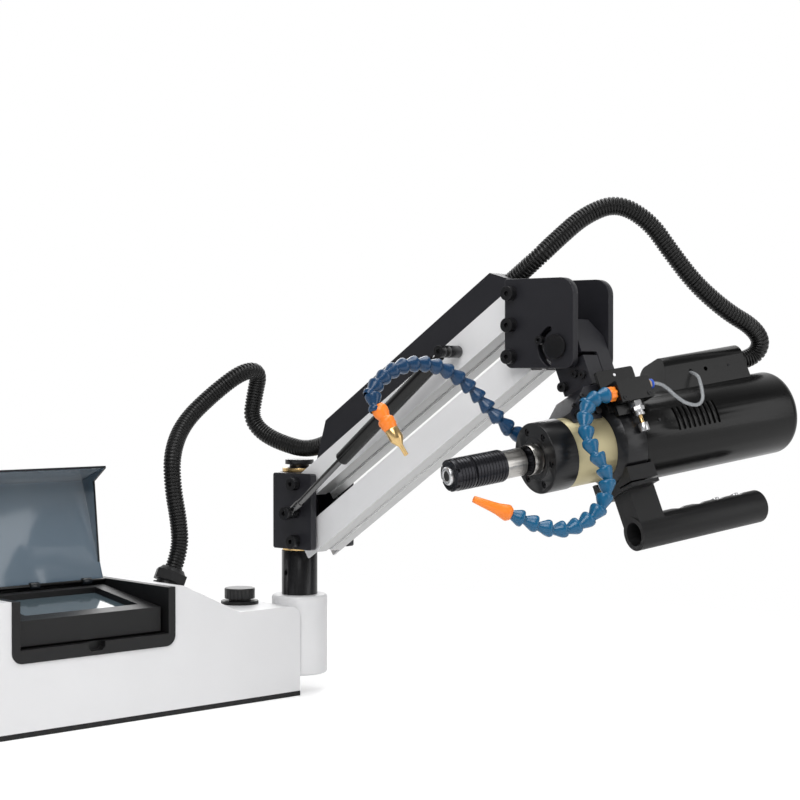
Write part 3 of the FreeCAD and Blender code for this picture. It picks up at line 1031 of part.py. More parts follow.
head_conduit_points = [
    (286.9, -374.5, 502.4), (291.8, -412.1, 528.5), (317, -424, 554), (350, -437, 583), (382, -458, 598),
    (412, -481, 577), (433, -497, 540), (456, -515, 503), (486, -537, 472), (513, -553, 455),
    (529, -555, 436), (526.2, -540.4, 417.2), (493.5, -532.8, 412.5),
]
RINGS_PER_LOFT = 40
STEADY = {
    "near_hose": AXES["y"], "rear_hose": AXES["y"], "air_tube": AXES["y"],
    "cabinet_conduit": Vector(0.6, 0.8, 0), "head_conduit": Vector(0.6, 0.8, 0),
}


def make_hoses():
    """Corrugated conduits, jointed coolant hoses and the clear air tube."""
    root, crest = given("conduit_root"), given("conduit_radius")
    ribs = [(0.0, root), (0.2, crest), (0.6, crest), (0.8, root)]
    for label, points in (("cabinet_conduit", cabinet_conduit_points), ("head_conduit", head_conduit_points)):
        hose(label, points, ribs, given("conduit_pitch"), given("conduit_bore"))
    neck, belly = given("hose_neck"), given("hose_radius")
    links = [(0.0, neck), (0.04, belly), (0.16, belly), (0.9, neck)]
    for label, points in (("near_hose", near_hose_points), ("rear_hose", rear_hose_points)):
        hose(label, points, links, given("hose_pitch"), given("hose_bore"))
    hose("air_tube", air_tube_points, [(0.0, given("air_radius"))], given("air_radius") * 2, given("air_bore"))


def make_nozzles():
    """Orange cone of the near hose, and the orange coupler and brass tip of the far one."""
    shapes = []
    start, way = end_of(near_hose_points)
    cone = Part.makeCone(given("cone_base"), given("cone_tip"), given("cone_length"), start, way)
    shapes.append(cone.cut(Part.makeCylinder(given("tip_bore"), given("cone_length"), start, way)))
    start, way = end_of(rear_hose_points)
    coupler = Part.makeCylinder(given("coupler_radius"), given("coupler_length"), start, way)
    start += way * given("coupler_length")
    body = Part.makeCylinder(given("brass_radius"), given("brass_length"), start, way)
    start += way * given("brass_length")
    tip = Part.makeCone(given("brass_radius"), given("tip_radius"), given("tip_length"), start, way)
    shapes += [coupler, body.fuse(tip).removeSplitter()]
    nozzles = document.addObject("Part::Feature", "hose_nozzles")
    nozzles.Shape = Part.makeCompound(shapes)
    pieces["hose_nozzles"] = nozzles


def end_of(points):
    """The last point of a route and its direction there."""
    last = Vector(*points[-1])
    return last, (last - Vector(*points[-2])).normalize()


make_cabinet_shell()
make_base_plate()
make_screen_bezel()
make_touch_screen("touch_screen", " - glass_sunk - glass_thickness - screen_thickness", " - glass_sunk - glass_thickness")
make_touch_screen("screen_glass", " - glass_sunk - glass_thickness", " - glass_sunk")
make_lid()
make_lid_hinge()
make_filler()
make_gland()
make_servo_drive()
make_column()
make_swivel()
make_profile("upper_profile", "upper_bushes", "running_gap")
make_profile("lower_profile", "lower_bushes", "pivot_play")
make_cable_cover()
make_gas_spring()
make_head_plates()
make_tilt()
make_saddle()
make_spindle_housing()
make_motor()
make_handle()
make_mist()
make_spindle()
make_hoses()
make_nozzles()

group(cabinet_frame, "cabinet_shell", "base_plate", "screen_bezel", "touch_screen", "screen_glass",
      "filler_neck", "filler_cap", "servo_drive")
group(hinge_frame, "smoked_lid", "lid_hinge")
group(gland_frame, "conduit_gland")
group(column_frame, "column_boss", "column", "retaining_cap")
group(arm_frame, "swivel_housing", "column_bushes", "housing_plate_front", "housing_plate_rear", "housing_bolts")
group(upper_frame, "upper_profile", "upper_bushes", "cable_cover")
group(lower_frame, "lower_profile", "lower_bushes")
group(gas_frame, "gas_rod", "gas_tube", "gas_upper_stud")
group(head_frame, "head_plate_front", "head_plate_rear", "head_bolts")
group(tilt_frame, "tilt_pin", "tilt_lock_screw", "neck_block", "neck_tongue", "neck_screws")
group(spindle_frame, "saddle", "housing_screws", "gear_housing", "front_flange", "spindle_bearings",
      "motor_ring", "servo_motor", "motor_cover", "cable_box", "handle", "button_front", "button_rear",
      "mist_bracket", "mist_valve", "valve_fittings", "needle_knob", "spindle_shaft", "chuck_nose",
      "release_sleeve", "near_hose", "rear_hose", "air_tube", "hose_nozzles")
for label, frame in groups.items():
    pieces[label].Placement = frame
document.recompute()

for item in document.Objects:
    if "Invalid" in item.State or "Error" in item.State:
        raise RuntimeError("failed feature: " + item.Label)
os.makedirs("parts", exist_ok=True)
for label, piece in pieces.items():
    if piece.Shape.isNull() or not piece.Shape.isValid():
        raise RuntimeError("bad shape: " + label)
for label, piece in pieces.items():
    piece.Shape.exportStep("parts/%s.step" % label)
    print(label, len(piece.Shape.Solids), round(piece.Shape.Volume))
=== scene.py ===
"""Looks of the arm tapping machine: finishes, hoses and small fittings around the fixed frame, in metres."""

import json
import math

import bmesh
import bpy
import mathutils


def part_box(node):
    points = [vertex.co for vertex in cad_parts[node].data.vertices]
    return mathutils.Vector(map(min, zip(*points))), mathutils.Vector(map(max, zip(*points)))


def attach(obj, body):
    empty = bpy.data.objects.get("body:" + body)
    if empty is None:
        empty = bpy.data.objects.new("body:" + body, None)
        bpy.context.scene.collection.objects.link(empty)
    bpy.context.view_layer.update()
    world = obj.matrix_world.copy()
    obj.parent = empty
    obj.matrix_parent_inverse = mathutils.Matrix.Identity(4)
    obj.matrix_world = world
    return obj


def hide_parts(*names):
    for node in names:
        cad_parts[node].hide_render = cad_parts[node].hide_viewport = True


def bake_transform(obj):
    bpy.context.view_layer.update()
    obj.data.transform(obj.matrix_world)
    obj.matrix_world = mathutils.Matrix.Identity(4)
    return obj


Vector = mathutils.Vector
Matrix = mathutils.Matrix
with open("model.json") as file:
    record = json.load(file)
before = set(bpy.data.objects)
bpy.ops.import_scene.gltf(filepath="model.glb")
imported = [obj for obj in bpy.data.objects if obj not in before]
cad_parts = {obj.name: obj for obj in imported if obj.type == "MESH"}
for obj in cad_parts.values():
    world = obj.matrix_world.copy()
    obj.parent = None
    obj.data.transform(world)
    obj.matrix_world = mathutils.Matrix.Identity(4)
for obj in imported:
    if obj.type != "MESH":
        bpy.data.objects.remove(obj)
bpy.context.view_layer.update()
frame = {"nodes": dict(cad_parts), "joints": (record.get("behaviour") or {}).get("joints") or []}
joints = {joint["name"]: joint for joint in frame["joints"]}
MM = 0.001


# Frames that the joints give

def frame_at(origin, along, up):
    """A right-handed frame with its X axis along the first direction and Z near the second."""
    x = Vector(along).normalized()
    z = Vector(up)
    z = (z - x * z.dot(x)).normalized()
    y = z.cross(x)
    turn = Matrix((x, y, z)).transposed().to_4x4()
    return Matrix.Translation(Vector(origin)) @ turn


spindle = frame_at(joints["spindle_spin"]["pos_m"], joints["spindle_spin"]["axis"],
                   joints["head_swivel"]["axis"])
near_pivot = Vector(joints["arm_lift"]["pos_m"])
far_pivot = Vector(joints["head_level"]["pos_m"])
arm = frame_at(near_pivot, far_pivot - near_pivot, (0, 0, 1))
upright = Matrix.Identity(4)


# Camera, where the photograph was taken from

CAMERA_PLACE = (-1.2525, -1.8500, 0.4050)
CAMERA_HEADING = (0.6807, 0.7325)
CAMERA_DROP = math.radians(0.929)
SENSOR = 36.0
FOCAL_IN_FRAMES = 1850.0 / 800.0


def make_camera():
    """The camera looks level along its heading, tipped down a little."""
    data = bpy.data.cameras.new("camera")
    data.sensor_width = SENSOR
    data.lens = SENSOR * FOCAL_IN_FRAMES
    camera = bpy.data.objects.new("camera", data)
    camera.location = CAMERA_PLACE
    heading = math.atan2(CAMERA_HEADING[1], CAMERA_HEADING[0])
    camera.rotation_euler = (math.pi / 2 - CAMERA_DROP, 0, heading - math.pi / 2)
    bpy.context.scene.collection.objects.link(camera)
    bpy.context.scene.camera = camera


# Helpers for node trees, for materials and for shapes alike

def put(tree, kind, sockets=None, **settings):
    """Adds a node, gives its settings, and fills its sockets with values or with other nodes' outputs."""
    node = tree.nodes.new(kind)
    for name, value in settings.items():
        setattr(node, name, value)
    for place, value in (sockets or {}).items():
        if isinstance(value, bpy.types.Node):
            value = value.outputs[0]
        if isinstance(value, bpy.types.NodeSocket):
            tree.links.new(value, node.inputs[place])
        else:
            node.inputs[place].default_value = value
    return node


def sums(tree, operation, *values, clamp=False):
    """One step of arithmetic on numbers or outputs."""
    return put(tree, "ShaderNodeMath", dict(enumerate(values)), operation=operation,
               use_clamp=clamp).outputs[0]


def shape_tree(name, **inputs):
    """A geometry tree with named inputs, each given as the kind of its socket."""
    tree = bpy.data.node_groups.new(name, "GeometryNodeTree")
    tree.interface.new_socket("Geometry", in_out="INPUT", socket_type="NodeSocketGeometry")
    for label, kind in inputs.items():
        tree.interface.new_socket(label, in_out="INPUT", socket_type=kind)
    tree.interface.new_socket("Geometry", in_out="OUTPUT", socket_type="NodeSocketGeometry")
    return tree, put(tree, "NodeGroupInput"), put(tree, "NodeGroupOutput")


def link_object(name, mesh):
    """A new object of a mesh, in the scene."""
    piece = bpy.data.objects.new(name, mesh)
    bpy.context.scene.collection.objects.link(piece)
    return piece


def grow(name, seed_mesh, tree, **values):
    """Runs a geometry tree on a mesh and returns the result as a plain piece."""
    seed = link_object(name + "_seed", seed_mesh)
    modifier = seed.modifiers.new("grow", "NODES")
    modifier.node_group = tree
    for item in tree.interface.items_tree:
        if item.in_out == "INPUT" and item.name in values:
            modifier[item.identifier] = values[item.name]
    graph = bpy.context.evaluated_depsgraph_get()
    mesh = bpy.data.meshes.new_from_object(seed.evaluated_get(graph))
    mesh.name = name
    bpy.data.objects.remove(seed)
    return link_object(name, mesh)


# Finishes

def finish(name):
    """An empty material with its main shader, and the place of each point on the object."""
    material = bpy.data.materials.new(name)
    material.use_nodes = True
    tree = material.node_tree
    shader = tree.nodes["Principled BSDF"]
    place = put(tree, "ShaderNodeTexCoord").outputs["Object"]
    return material, tree, shader, place


def noise(tree, place, scale, detail=2.0, roughness=0.5):
    """Soft noise whose grain is 1 / scale metres."""
    sockets = {"Vector": place, "Scale": scale, "Detail": detail, "Roughness": roughness}
    return put(tree, "ShaderNodeTexNoise", sockets).outputs[0]


def spread(tree, value, low, high, from_low=0.0, from_high=1.0):
    """A value carried from one range to another."""
    sockets = {"Value": value, "From Min": from_low, "From Max": from_high, "To Min": low, "To Max": high}
    return put(tree, "ShaderNodeMapRange", sockets).outputs[0]


def tinted(tree, factor, dark, light):
    """A colour between two, by a factor."""
    node = put(tree, "ShaderNodeMix", data_type="RGBA")
    tree.links.new(factor, node.inputs[0])
    node.inputs[6].default_value = (*dark, 1)
    node.inputs[7].default_value = (*light, 1)
    return node.outputs[2]


def bumped(tree, shader, height, depth, strength=1.0):
    """Raises the shader's surface by a height, in metres of depth."""
    sockets = {"Height": height, "Distance": depth, "Strength": strength}
    bump = put(tree, "ShaderNodeBump", sockets)
    tree.links.new(bump.outputs[0], shader.inputs["Normal"])
    return bump


def in_frame(tree, place, local):
    """The place of a point in one of the machine's own frames."""
    back = local.inverted()
    sockets = {"Vector": place, "Location": back.translation, "Rotation": back.to_euler()}
    return put(tree, "ShaderNodeMapping", sockets, vector_type="POINT").outputs[0]


def stretched(tree, place, along, across, up):
    """A place stretched by its own factor along each axis."""
    return put(tree, "ShaderNodeVectorMath", {0: place, 1: (along, across, up)},
               operation="MULTIPLY").outputs[0]


def coated(name, dark, light, rough, grain=1400.0, depth=0.00004, metallic=0.0, patch=14.0, spare=0.08,
           glare=0.5):
    """A moulded or coated surface: an uneven tone, and a fine grain in its gloss and height."""
    material, tree, shader, place = finish(name)
    tone = noise(tree, place, patch, 3.0)
    tree.links.new(tinted(tree, tone, dark, light), shader.inputs["Base Color"])
    fine = noise(tree, place, grain, 2.0)
    smears = noise(tree, place, patch * 4, 4.0)
    gloss = sums(tree, "ADD", spread(tree, fine, rough - spare / 2, rough + spare / 2),
                 spread(tree, smears, -spare / 2, spare / 2))
    tree.links.new(gloss, shader.inputs["Roughness"])
    shader.inputs["Metallic"].default_value = metallic
    shader.inputs["Specular IOR Level"].default_value = glare
    bumped(tree, shader, fine, depth)
    return material, tree, shader, place


def turned(name, dark, light, rough, local, rings=5200.0, depth=0.00003, metallic=1.0, lengthwise=False):
    """A machined metal: fine marks round its frame's X axis, or along it."""
    material, tree, shader, place = finish(name)
    own = in_frame(tree, place, local)
    along, across = (60.0, rings) if lengthwise else (rings, 60.0)
    marks = noise(tree, stretched(tree, own, along, across, across), 1.0, 2.0)
    clouds = noise(tree, place, 24.0, 3.0)
    tree.links.new(tinted(tree, sums(tree, "MULTIPLY_ADD", marks, 0.6, spread(tree, clouds, 0.0, 0.4)), dark,
                          light),
                   shader.inputs["Base Color"])
    tree.links.new(sums(tree, "ADD", spread(tree, marks, rough - 0.07, rough + 0.07),
                        spread(tree, clouds, -0.04, 0.04)), shader.inputs["Roughness"])
    shader.inputs["Metallic"].default_value = metallic
    bumped(tree, shader, marks, depth)
    return material, tree, shader, place


def band_of(tree, place, local, axis, low, high):
    """One inside a band along one axis of a frame, and nought outside it."""
    apart = put(tree, "ShaderNodeSeparateXYZ", {0: in_frame(tree, place, local)})
    value = apart.outputs[axis]
    return sums(tree, "MULTIPLY", sums(tree, "GREATER_THAN", value, low),
                sums(tree, "LESS_THAN", value, high))


def recoloured(tree, shader, factor, colour, rough=None, metallic=None):
    """Lays a second colour, and a second gloss, over the first where a factor says so."""
    source = shader.inputs["Base Color"].links[0].from_socket
    node = put(tree, "ShaderNodeMix", data_type="RGBA")
    tree.links.new(factor, node.inputs[0])
    tree.links.new(source, node.inputs[6])
    node.inputs[7].default_value = (*colour, 1)
    tree.links.new(node.outputs[2], shader.inputs["Base Color"])
    for socket, value in (("Roughness", rough), ("Metallic", metallic)):
        if value is None:
            continue
        blend = put(tree, "ShaderNodeMix", data_type="FLOAT")
        tree.links.new(factor, blend.inputs[0])
        if shader.inputs[socket].is_linked:
            tree.links.new(shader.inputs[socket].links[0].from_socket, blend.inputs[2])
        else:
            blend.inputs[2].default_value = shader.inputs[socket].default_value
        blend.inputs[3].default_value = value
        tree.links.new(blend.outputs[0], shader.inputs[socket])


def make_finishes():
    """Every finish of the machine, by the name that a maker would give it, and the painted shade for the
    chuck's bore, the profiles' grooves and the rear hose.
    """
    made = {}
    made["white_coat"] = coated("white_powder_coat", (0.70, 0.70, 0.71), (0.75, 0.75, 0.76), 0.40,
                                grain=1100.0, depth=0.00010)[0]
    made["moulded_black"] = coated("moulded_black", (0.006, 0.006, 0.006), (0.010, 0.010, 0.011), 0.42,
                                   grain=2600.0, depth=0.00010, glare=0.3)[0]
    made["cap_black"] = coated("cap_black", (0.007, 0.007, 0.007), (0.012, 0.012, 0.013), 0.34,
                               grain=1800.0)[0]
    made["satin_black"] = coated("satin_black_steel", (0.010, 0.010, 0.011), (0.020, 0.020, 0.022), 0.26,
                                 grain=3000.0, depth=0.00002, metallic=0.4)[0]
    made["screw_black"] = coated("black_oxide", (0.010, 0.010, 0.011), (0.022, 0.022, 0.024), 0.32,
                                 grain=3600.0, depth=0.00003, metallic=0.5)[0]
    made["anodised"] = coated("dark_anodised", (0.013, 0.013, 0.017), (0.019, 0.019, 0.024), 0.40,
                              grain=4200.0, depth=0.00004, metallic=0.25)[0]
    made["gloss_black"] = coated("gloss_black_anodised", (0.004, 0.004, 0.004), (0.008, 0.008, 0.008), 0.16,
                                 grain=2600.0, depth=0.000005, metallic=0.3, patch=6.0, spare=0.015)[0]
    made["cover_black"] = coated("satin_black_cover", (0.004, 0.004, 0.004), (0.006, 0.006, 0.006), 0.24,
                                 grain=3000.0, depth=0.00001, patch=6.0, spare=0.02, glare=0.26)[0]
    made["flange_black"] = coated("black_anodised_flange", (0.008, 0.008, 0.009), (0.012, 0.012, 0.013), 0.30,
                                  grain=3000.0, depth=0.00001, metallic=0.35, patch=6.0, spare=0.03)[0]
    made["blue_ring"] = coated("blue_release_ring", (0.005, 0.06, 0.45), (0.010, 0.09, 0.60), 0.30,
                               grain=2400.0, depth=0.00002)[0]
    made["tan"] = coated("tan_fitting", (0.42, 0.31, 0.17), (0.52, 0.40, 0.24), 0.36,
                         grain=2000.0, depth=0.00003, metallic=0.3)[0]
    # near-black painted shade for the inside of the chuck's bore
    made["hole_black"] = coated("hole_painted_shade", (0.002, 0.002, 0.002), (0.004, 0.004, 0.004), 0.6)[0]
    made["lid_edge"] = coated("lid_edge", (0.008, 0.010, 0.013), (0.014, 0.018, 0.022), 0.20,
                              grain=1200.0, depth=0.00001, spare=0.04)[0]
    made["grip_black"] = coated("matt_black_grip", (0.006, 0.006, 0.006), (0.009, 0.009, 0.010), 0.44,
                                grain=2000.0, depth=0.00008, glare=0.28)[0]
    made["conduit"] = coated("conduit_black", (0.004, 0.004, 0.004), (0.007, 0.007, 0.007), 0.34,
                             grain=2400.0, depth=0.00004, glare=0.35)[0]
    made["hose_near"] = coated("hose_bright_blue", (0.002, 0.078, 0.175), (0.004, 0.110, 0.235), 0.26,
                               grain=1500.0, depth=0.00003)[0]
    # painted shade: the rear hose gets a darker copy of the near hose's blue
    made["hose_rear"] = coated("hose_blue_painted_shade", (0.003, 0.030, 0.085), (0.007, 0.050, 0.125), 0.28,
                               grain=1500.0, depth=0.00003)[0]
    made["orange"] = coated("orange_plastic", (0.86, 0.19, 0.012), (0.95, 0.26, 0.025), 0.32,
                            grain=1500.0, depth=0.00004)[0]
    made["profile"] = turned("drawn_aluminium", (0.82, 0.82, 0.83), (0.88, 0.88, 0.89), 0.38, arm,
                             rings=3400.0, lengthwise=True, metallic=0.25)[0]
    # painted shade: a grey copy of the profile finish for the grooves and every face but the two flat sides
    made["profile_slots"] = turned("drawn_aluminium_painted_shade", (0.40, 0.40, 0.40), (0.52, 0.52, 0.52), 0.34, arm,
                                   rings=3400.0, lengthwise=True, metallic=0.5)[0]
    made["gold"] = turned("champagne_anodised", (0.40, 0.35, 0.20), (0.50, 0.44, 0.27), 0.42, spindle,
                          rings=2600.0, metallic=0.55, depth=0.00001)[0]
    made["brass"] = turned("turned_brass", (0.62, 0.40, 0.16), (0.80, 0.58, 0.28), 0.28, upright)[0]
    made["steel"] = turned("ground_steel", (0.40, 0.39, 0.38), (0.58, 0.57, 0.56), 0.30, spindle)[0]
    made["nickel"] = turned("nickel_plate", (0.58, 0.58, 0.59), (0.74, 0.74, 0.75), 0.30, upright)[0]
    made["chuck"] = turned("blued_steel", (0.010, 0.010, 0.013), (0.026, 0.026, 0.031), 0.26, spindle,
                           rings=2600.0, metallic=0.6, depth=0.00004)[0]
    made["rod_steel"] = turned("dark_rod_steel", (0.10, 0.10, 0.10), (0.20, 0.20, 0.20), 0.24, upright)[0]
    made["shaft"] = shaft_finish()
    made["lid"] = smoked_finish()
    made["screen"] = screen_finish()
    made["clear"] = clear_finish()
    return made


def shaft_finish():
    """Satin steel with one blued band behind the chuck."""
    material, tree, shader, place = turned("spindle_steel", (0.36, 0.35, 0.33), (0.60, 0.58, 0.55), 0.30,
                                           spindle)
    band = band_of(tree, place, spindle, 0, BLUED_BAND[0], BLUED_BAND[1])
    recoloured(tree, shader, band, (0.014, 0.014, 0.016), rough=0.24)
    return material


def smoked_finish():
    """Blue-grey clear plastic that darkens what is behind it."""
    material, tree, shader, place = finish("smoked_plastic")
    clouds = noise(tree, place, 9.0, 2.0)
    tree.links.new(tinted(tree, clouds, (0.100, 0.146, 0.192), (0.110, 0.160, 0.210)),
                   shader.inputs["Base Color"])
    tree.links.new(spread(tree, noise(tree, place, 18.0, 2.0), 0.05, 0.07), shader.inputs["Roughness"])
    shader.inputs["Alpha"].default_value = 0.80
    shader.inputs["Coat Weight"].default_value = 0.4
    return material


def screen_finish():
    """Cool grey glass of a touch screen that is switched off."""
    material, tree, shader, place = finish("screen_glass")
    clouds = noise(tree, place, 11.0, 2.0)
    tree.links.new(tinted(tree, clouds, (0.060, 0.085, 0.100), (0.080, 0.108, 0.125)),
                   shader.inputs["Base Color"])
    tree.links.new(spread(tree, noise(tree, place, 45.0, 4.0), 0.05, 0.13), shader.inputs["Roughness"])
    return material


def clear_finish():
    """Clear tube with a cool tint."""
    material, tree, shader, place = finish("clear_tube")
    clouds = noise(tree, place, 90.0, 2.0)
    tree.links.new(tinted(tree, clouds, (0.42, 0.44, 0.46), (0.58, 0.60, 0.62)), shader.inputs["Base Color"])
    tree.links.new(spread(tree, clouds, 0.06, 0.14), shader.inputs["Roughness"])
    shader.inputs["Alpha"].default_value = 0.36
    return material


BLUED_BAND = (-0.119, -0.110)
FINISH_OF = {
    "white_coat": ("cabinet_shell", "column_boss"),
    "moulded_black": ("screen_bezel", "base_plate", "touch_screen", "filler_neck", "conduit_gland"),
    "cap_black": ("filler_cap",),
    "lid": ("smoked_lid",),
    "screen": ("screen_glass",),
    "satin_black": ("column", "retaining_cap", "tilt_pin", "gas_upper_stud"),
    "screw_black": ("housing_bolts", "head_bolts", "tilt_lock_screw", "neck_screws", "housing_screws"),
    "anodised": ("swivel_housing", "housing_plate_front", "housing_plate_rear", "head_plate_front",
                 "head_plate_rear", "neck_block", "neck_tongue", "saddle", "cable_cover"),
    "brass": ("column_bushes",),
    "profile": ("upper_profile", "lower_profile"),
    "steel": ("upper_bushes", "lower_bushes", "spindle_bearings"),
    "rod_steel": ("gas_rod",),
    "gloss_black": ("gas_tube", "lid_hinge"),
    "flange_black": ("front_flange", "motor_ring"),
    "gold": ("gear_housing",),
    "cover_black": ("motor_cover", "cable_box", "servo_motor", "servo_drive", "mist_bracket", "mist_valve"),
    "grip_black": ("handle",),
    "nickel": ("button_front", "button_rear", "needle_knob"),
    "shaft": ("spindle_shaft",),
    "chuck": ("chuck_nose", "release_sleeve"),
}
EDGE_OF = {
    "cabinet_shell": 1.2, "column_boss": 0.0, "head_plate_front": 0.9, "head_plate_rear": 0.9,
    "release_sleeve": 0.0, "housing_plate_front": 0.8, "housing_plate_rear": 0.8, "handle": 0.8,
    "smoked_lid": 0.5,
    "screen_bezel": 0.5, "neck_block": 0.7, "neck_tongue": 0.7, "saddle": 0.7, "mist_valve": 0.6,
}
PLAIN_EDGE = 0.3
BEVEL_FROM = math.radians(32)


def reach_of(polygon, local):
    """How far a face lies from the X axis of a frame, and how far along it."""
    spot = local.inverted() @ polygon.center
    return math.hypot(spot.y, spot.z), spot.x


def narrowness(mesh, polygon):
    """The least height of a triangle."""
    corners = [mesh.vertices[index].co for index in polygon.vertices]
    longest = max((after - before).length for before, after in zip(corners, corners[1:] + corners[:1]))
    return 2 * polygon.area / longest


NOSE_MOUTH = 0.0092
NOSE_HOLE = 0.0037
LID_EDGE_WIDTH = 0.0033


def dress_faces(made):
    """Bright mouth of the chuck's nose with painted shade in its hole, painted shade on the profiles' grooves
    and narrow faces, and the dark sawn edges of the lid.
    """
    nose = frame["nodes"]["chuck_nose"].data
    nose.materials.append(made["steel"])
    nose.materials.append(made["hole_black"])
    for polygon in nose.polygons:
        reach, place = reach_of(polygon, spindle)
        if reach < NOSE_MOUTH and place < NOSE_TEETH:
            polygon.material_index = 1
        # painted shade: the walls of the bore get the near-black finish
        if reach < NOSE_HOLE and abs((spindle.inverted().to_3x3() @ polygon.normal).x) < 0.5:
            polygon.material_index = 2
    to_arm = arm.inverted()
    for node in ("upper_profile", "lower_profile"):
        profile = frame["nodes"][node].data
        profile.materials.append(made["profile_slots"])
        for polygon in profile.polygons:
            # painted shade: faces other than the two flat sides get the grey copy
            if abs((to_arm.to_3x3() @ polygon.normal).y) < FLAT_FACE:
                polygon.material_index = 1
    lid = frame["nodes"]["smoked_lid"].data
    lid.materials.append(made["lid_edge"])
    for polygon in lid.polygons:
        if narrowness(lid, polygon) < LID_EDGE_WIDTH:
            polygon.material_index = 1


NOSE_TEETH = -0.2092
FLAT_FACE = 0.9


def dress(made):
    """Gives each piece of the frame its finish, and a small round on its sharp edges."""
    for finish_name, nodes in FINISH_OF.items():
        for node in nodes:
            piece = frame["nodes"][node]
            piece.data.materials.clear()
            piece.data.materials.append(made[finish_name])
            soften(piece, EDGE_OF.get(node, PLAIN_EDGE) * MM)


def soften(piece, width):
    """Joins the loose triangles, merges flat ones and rounds the sharp edges."""
    weld = piece.modifiers.new("weld", "WELD")
    weld.merge_threshold = 0.00001
    flat = piece.modifiers.new("flat", "DECIMATE")
    flat.decimate_type = "DISSOLVE"
    flat.angle_limit = math.radians(0.4)
    if width:
        bevel = piece.modifiers.new("bevel", "BEVEL")
        bevel.width = width
        bevel.segments = 2
        bevel.limit_method = "ANGLE"
        bevel.angle_limit = BEVEL_FROM
        bevel.use_clamp_overlap = True
        bevel.harden_normals = True


# Hoses and conduits

def route_line(points, local=upright, resolution=24):
    """The smooth line of a route: a NURBS spline with the route's points as its control points."""
    curve = bpy.data.curves.new("route", "CURVE")
    curve.dimensions = "3D"
    spline = curve.splines.new("NURBS")
    spline.points.add(len(points) - 1)
    for control, point in zip(spline.points, points):
        control.co = (*(local @ Vector(point)), 1)
    spline.order_u = 3
    spline.use_endpoint_u = True
    curve.resolution_u = resolution
    holder = bpy.data.objects.new("route", curve)
    bpy.context.scene.collection.objects.link(holder)
    graph = bpy.context.evaluated_depsgraph_get()
    mesh = bpy.data.meshes.new_from_object(holder.evaluated_get(graph))
    line = [vertex.co.copy() for vertex in mesh.vertices]
    bpy.data.objects.remove(holder)
    return line


def length_of(line):
    """The length of a line of points."""
    return sum((after - before).length for before, after in zip(line, line[1:]))


def split_line(line, *lengths):
    """Cuts a line at lengths from its start, with a point of both parts at each cut."""
    parts, part, done = [], [line[0]], 0.0
    cuts = list(lengths)
    for before, after in zip(line, line[1:]):
        step = (after - before).length
        while cuts and done + step >= cuts[0]:
            middle = before.lerp(after, (cuts.pop(0) - done) / step)
            parts.append(part + [middle])
            part = [middle]
        if (after - part[-1]).length > 1e-7:
            part.append(after)
        done += step
    return parts + [part]


def line_mesh(line):
    """A mesh of one open run of edges."""
    mesh = bpy.data.meshes.new("line")
    mesh.from_pydata([tuple(point) for point in line], [(i, i + 1) for i in range(len(line) - 1)], [])
    return mesh


def ribbed_tree():
    """A corrugated tube along a line: rounded crests with narrow grooves between them."""
    tree, given, result = shape_tree(
        "corrugated tube", Samples="NodeSocketInt", Pitch="NodeSocketFloat", Crest="NodeSocketFloat",
        Root="NodeSocketFloat", Sides="NodeSocketInt", Finish="NodeSocketMaterial")
    line = put(tree, "GeometryNodeMeshToCurve", {"Mesh": given.outputs["Geometry"]})
    line = put(tree, "GeometryNodeResampleCurve", {"Curve": line, "Count": given.outputs["Samples"]})
    along = put(tree, "GeometryNodeSplineParameter").outputs["Length"]
    share = sums(tree, "FRACT", sums(tree, "DIVIDE", along, given.outputs["Pitch"]))
    apart = sums(tree, "ABSOLUTE", sums(tree, "SUBTRACT", share, 0.5))
    radius = put(tree, "ShaderNodeMapRange",
                 {"Value": apart, "From Min": 0.24, "From Max": 0.46,
                  "To Min": given.outputs["Crest"], "To Max": given.outputs["Root"]},
                 interpolation_type="SMOOTHSTEP").outputs[0]
    ring = put(tree, "GeometryNodeCurvePrimitiveCircle",
               {"Resolution": given.outputs["Sides"], "Radius": 1.0})
    tube = put(tree, "GeometryNodeCurveToMesh", {"Curve": line, "Profile Curve": ring, "Scale": radius})
    smooth = put(tree, "GeometryNodeSetShadeSmooth", {"Geometry": tube})
    painted = put(tree, "GeometryNodeSetMaterial", {"Geometry": smooth, "Material": given.outputs["Finish"]})
    tree.links.new(painted.outputs[0], result.inputs[0])
    return tree


def linked_tree():
    """Copies of one link along a line, each turned the way the line goes."""
    tree, given, result = shape_tree(
        "jointed hose", Link="NodeSocketObject", Count="NodeSocketInt", Finish="NodeSocketMaterial")
    line = put(tree, "GeometryNodeMeshToCurve", {"Mesh": given.outputs["Geometry"]})
    spare = put(tree, "FunctionNodeCompare", {2: put(tree, "GeometryNodeInputIndex").outputs[0],
                                              3: given.outputs["Count"]},
                data_type="INT", operation="GREATER_EQUAL")
    one_more = sums(tree, "ADD", given.outputs["Count"], 1.0)
    spots = put(tree, "GeometryNodeCurveToPoints", {"Curve": line, "Count": one_more})
    kept = put(tree, "GeometryNodeDeleteGeometry", {"Geometry": spots.outputs["Points"], "Selection": spare},
               domain="POINT")
    link = put(tree, "GeometryNodeObjectInfo", {"Object": given.outputs["Link"]})
    copies = put(tree, "GeometryNodeInstanceOnPoints",
                 {"Points": kept, "Instance": link.outputs["Geometry"],
                  "Rotation": spots.outputs["Rotation"]})
    real = put(tree, "GeometryNodeRealizeInstances", {"Geometry": copies})
    smooth = put(tree, "GeometryNodeSetShadeSmooth", {"Geometry": real})
    painted = put(tree, "GeometryNodeSetMaterial", {"Geometry": smooth, "Material": given.outputs["Finish"]})
    tree.links.new(painted.outputs[0], result.inputs[0])
    return tree


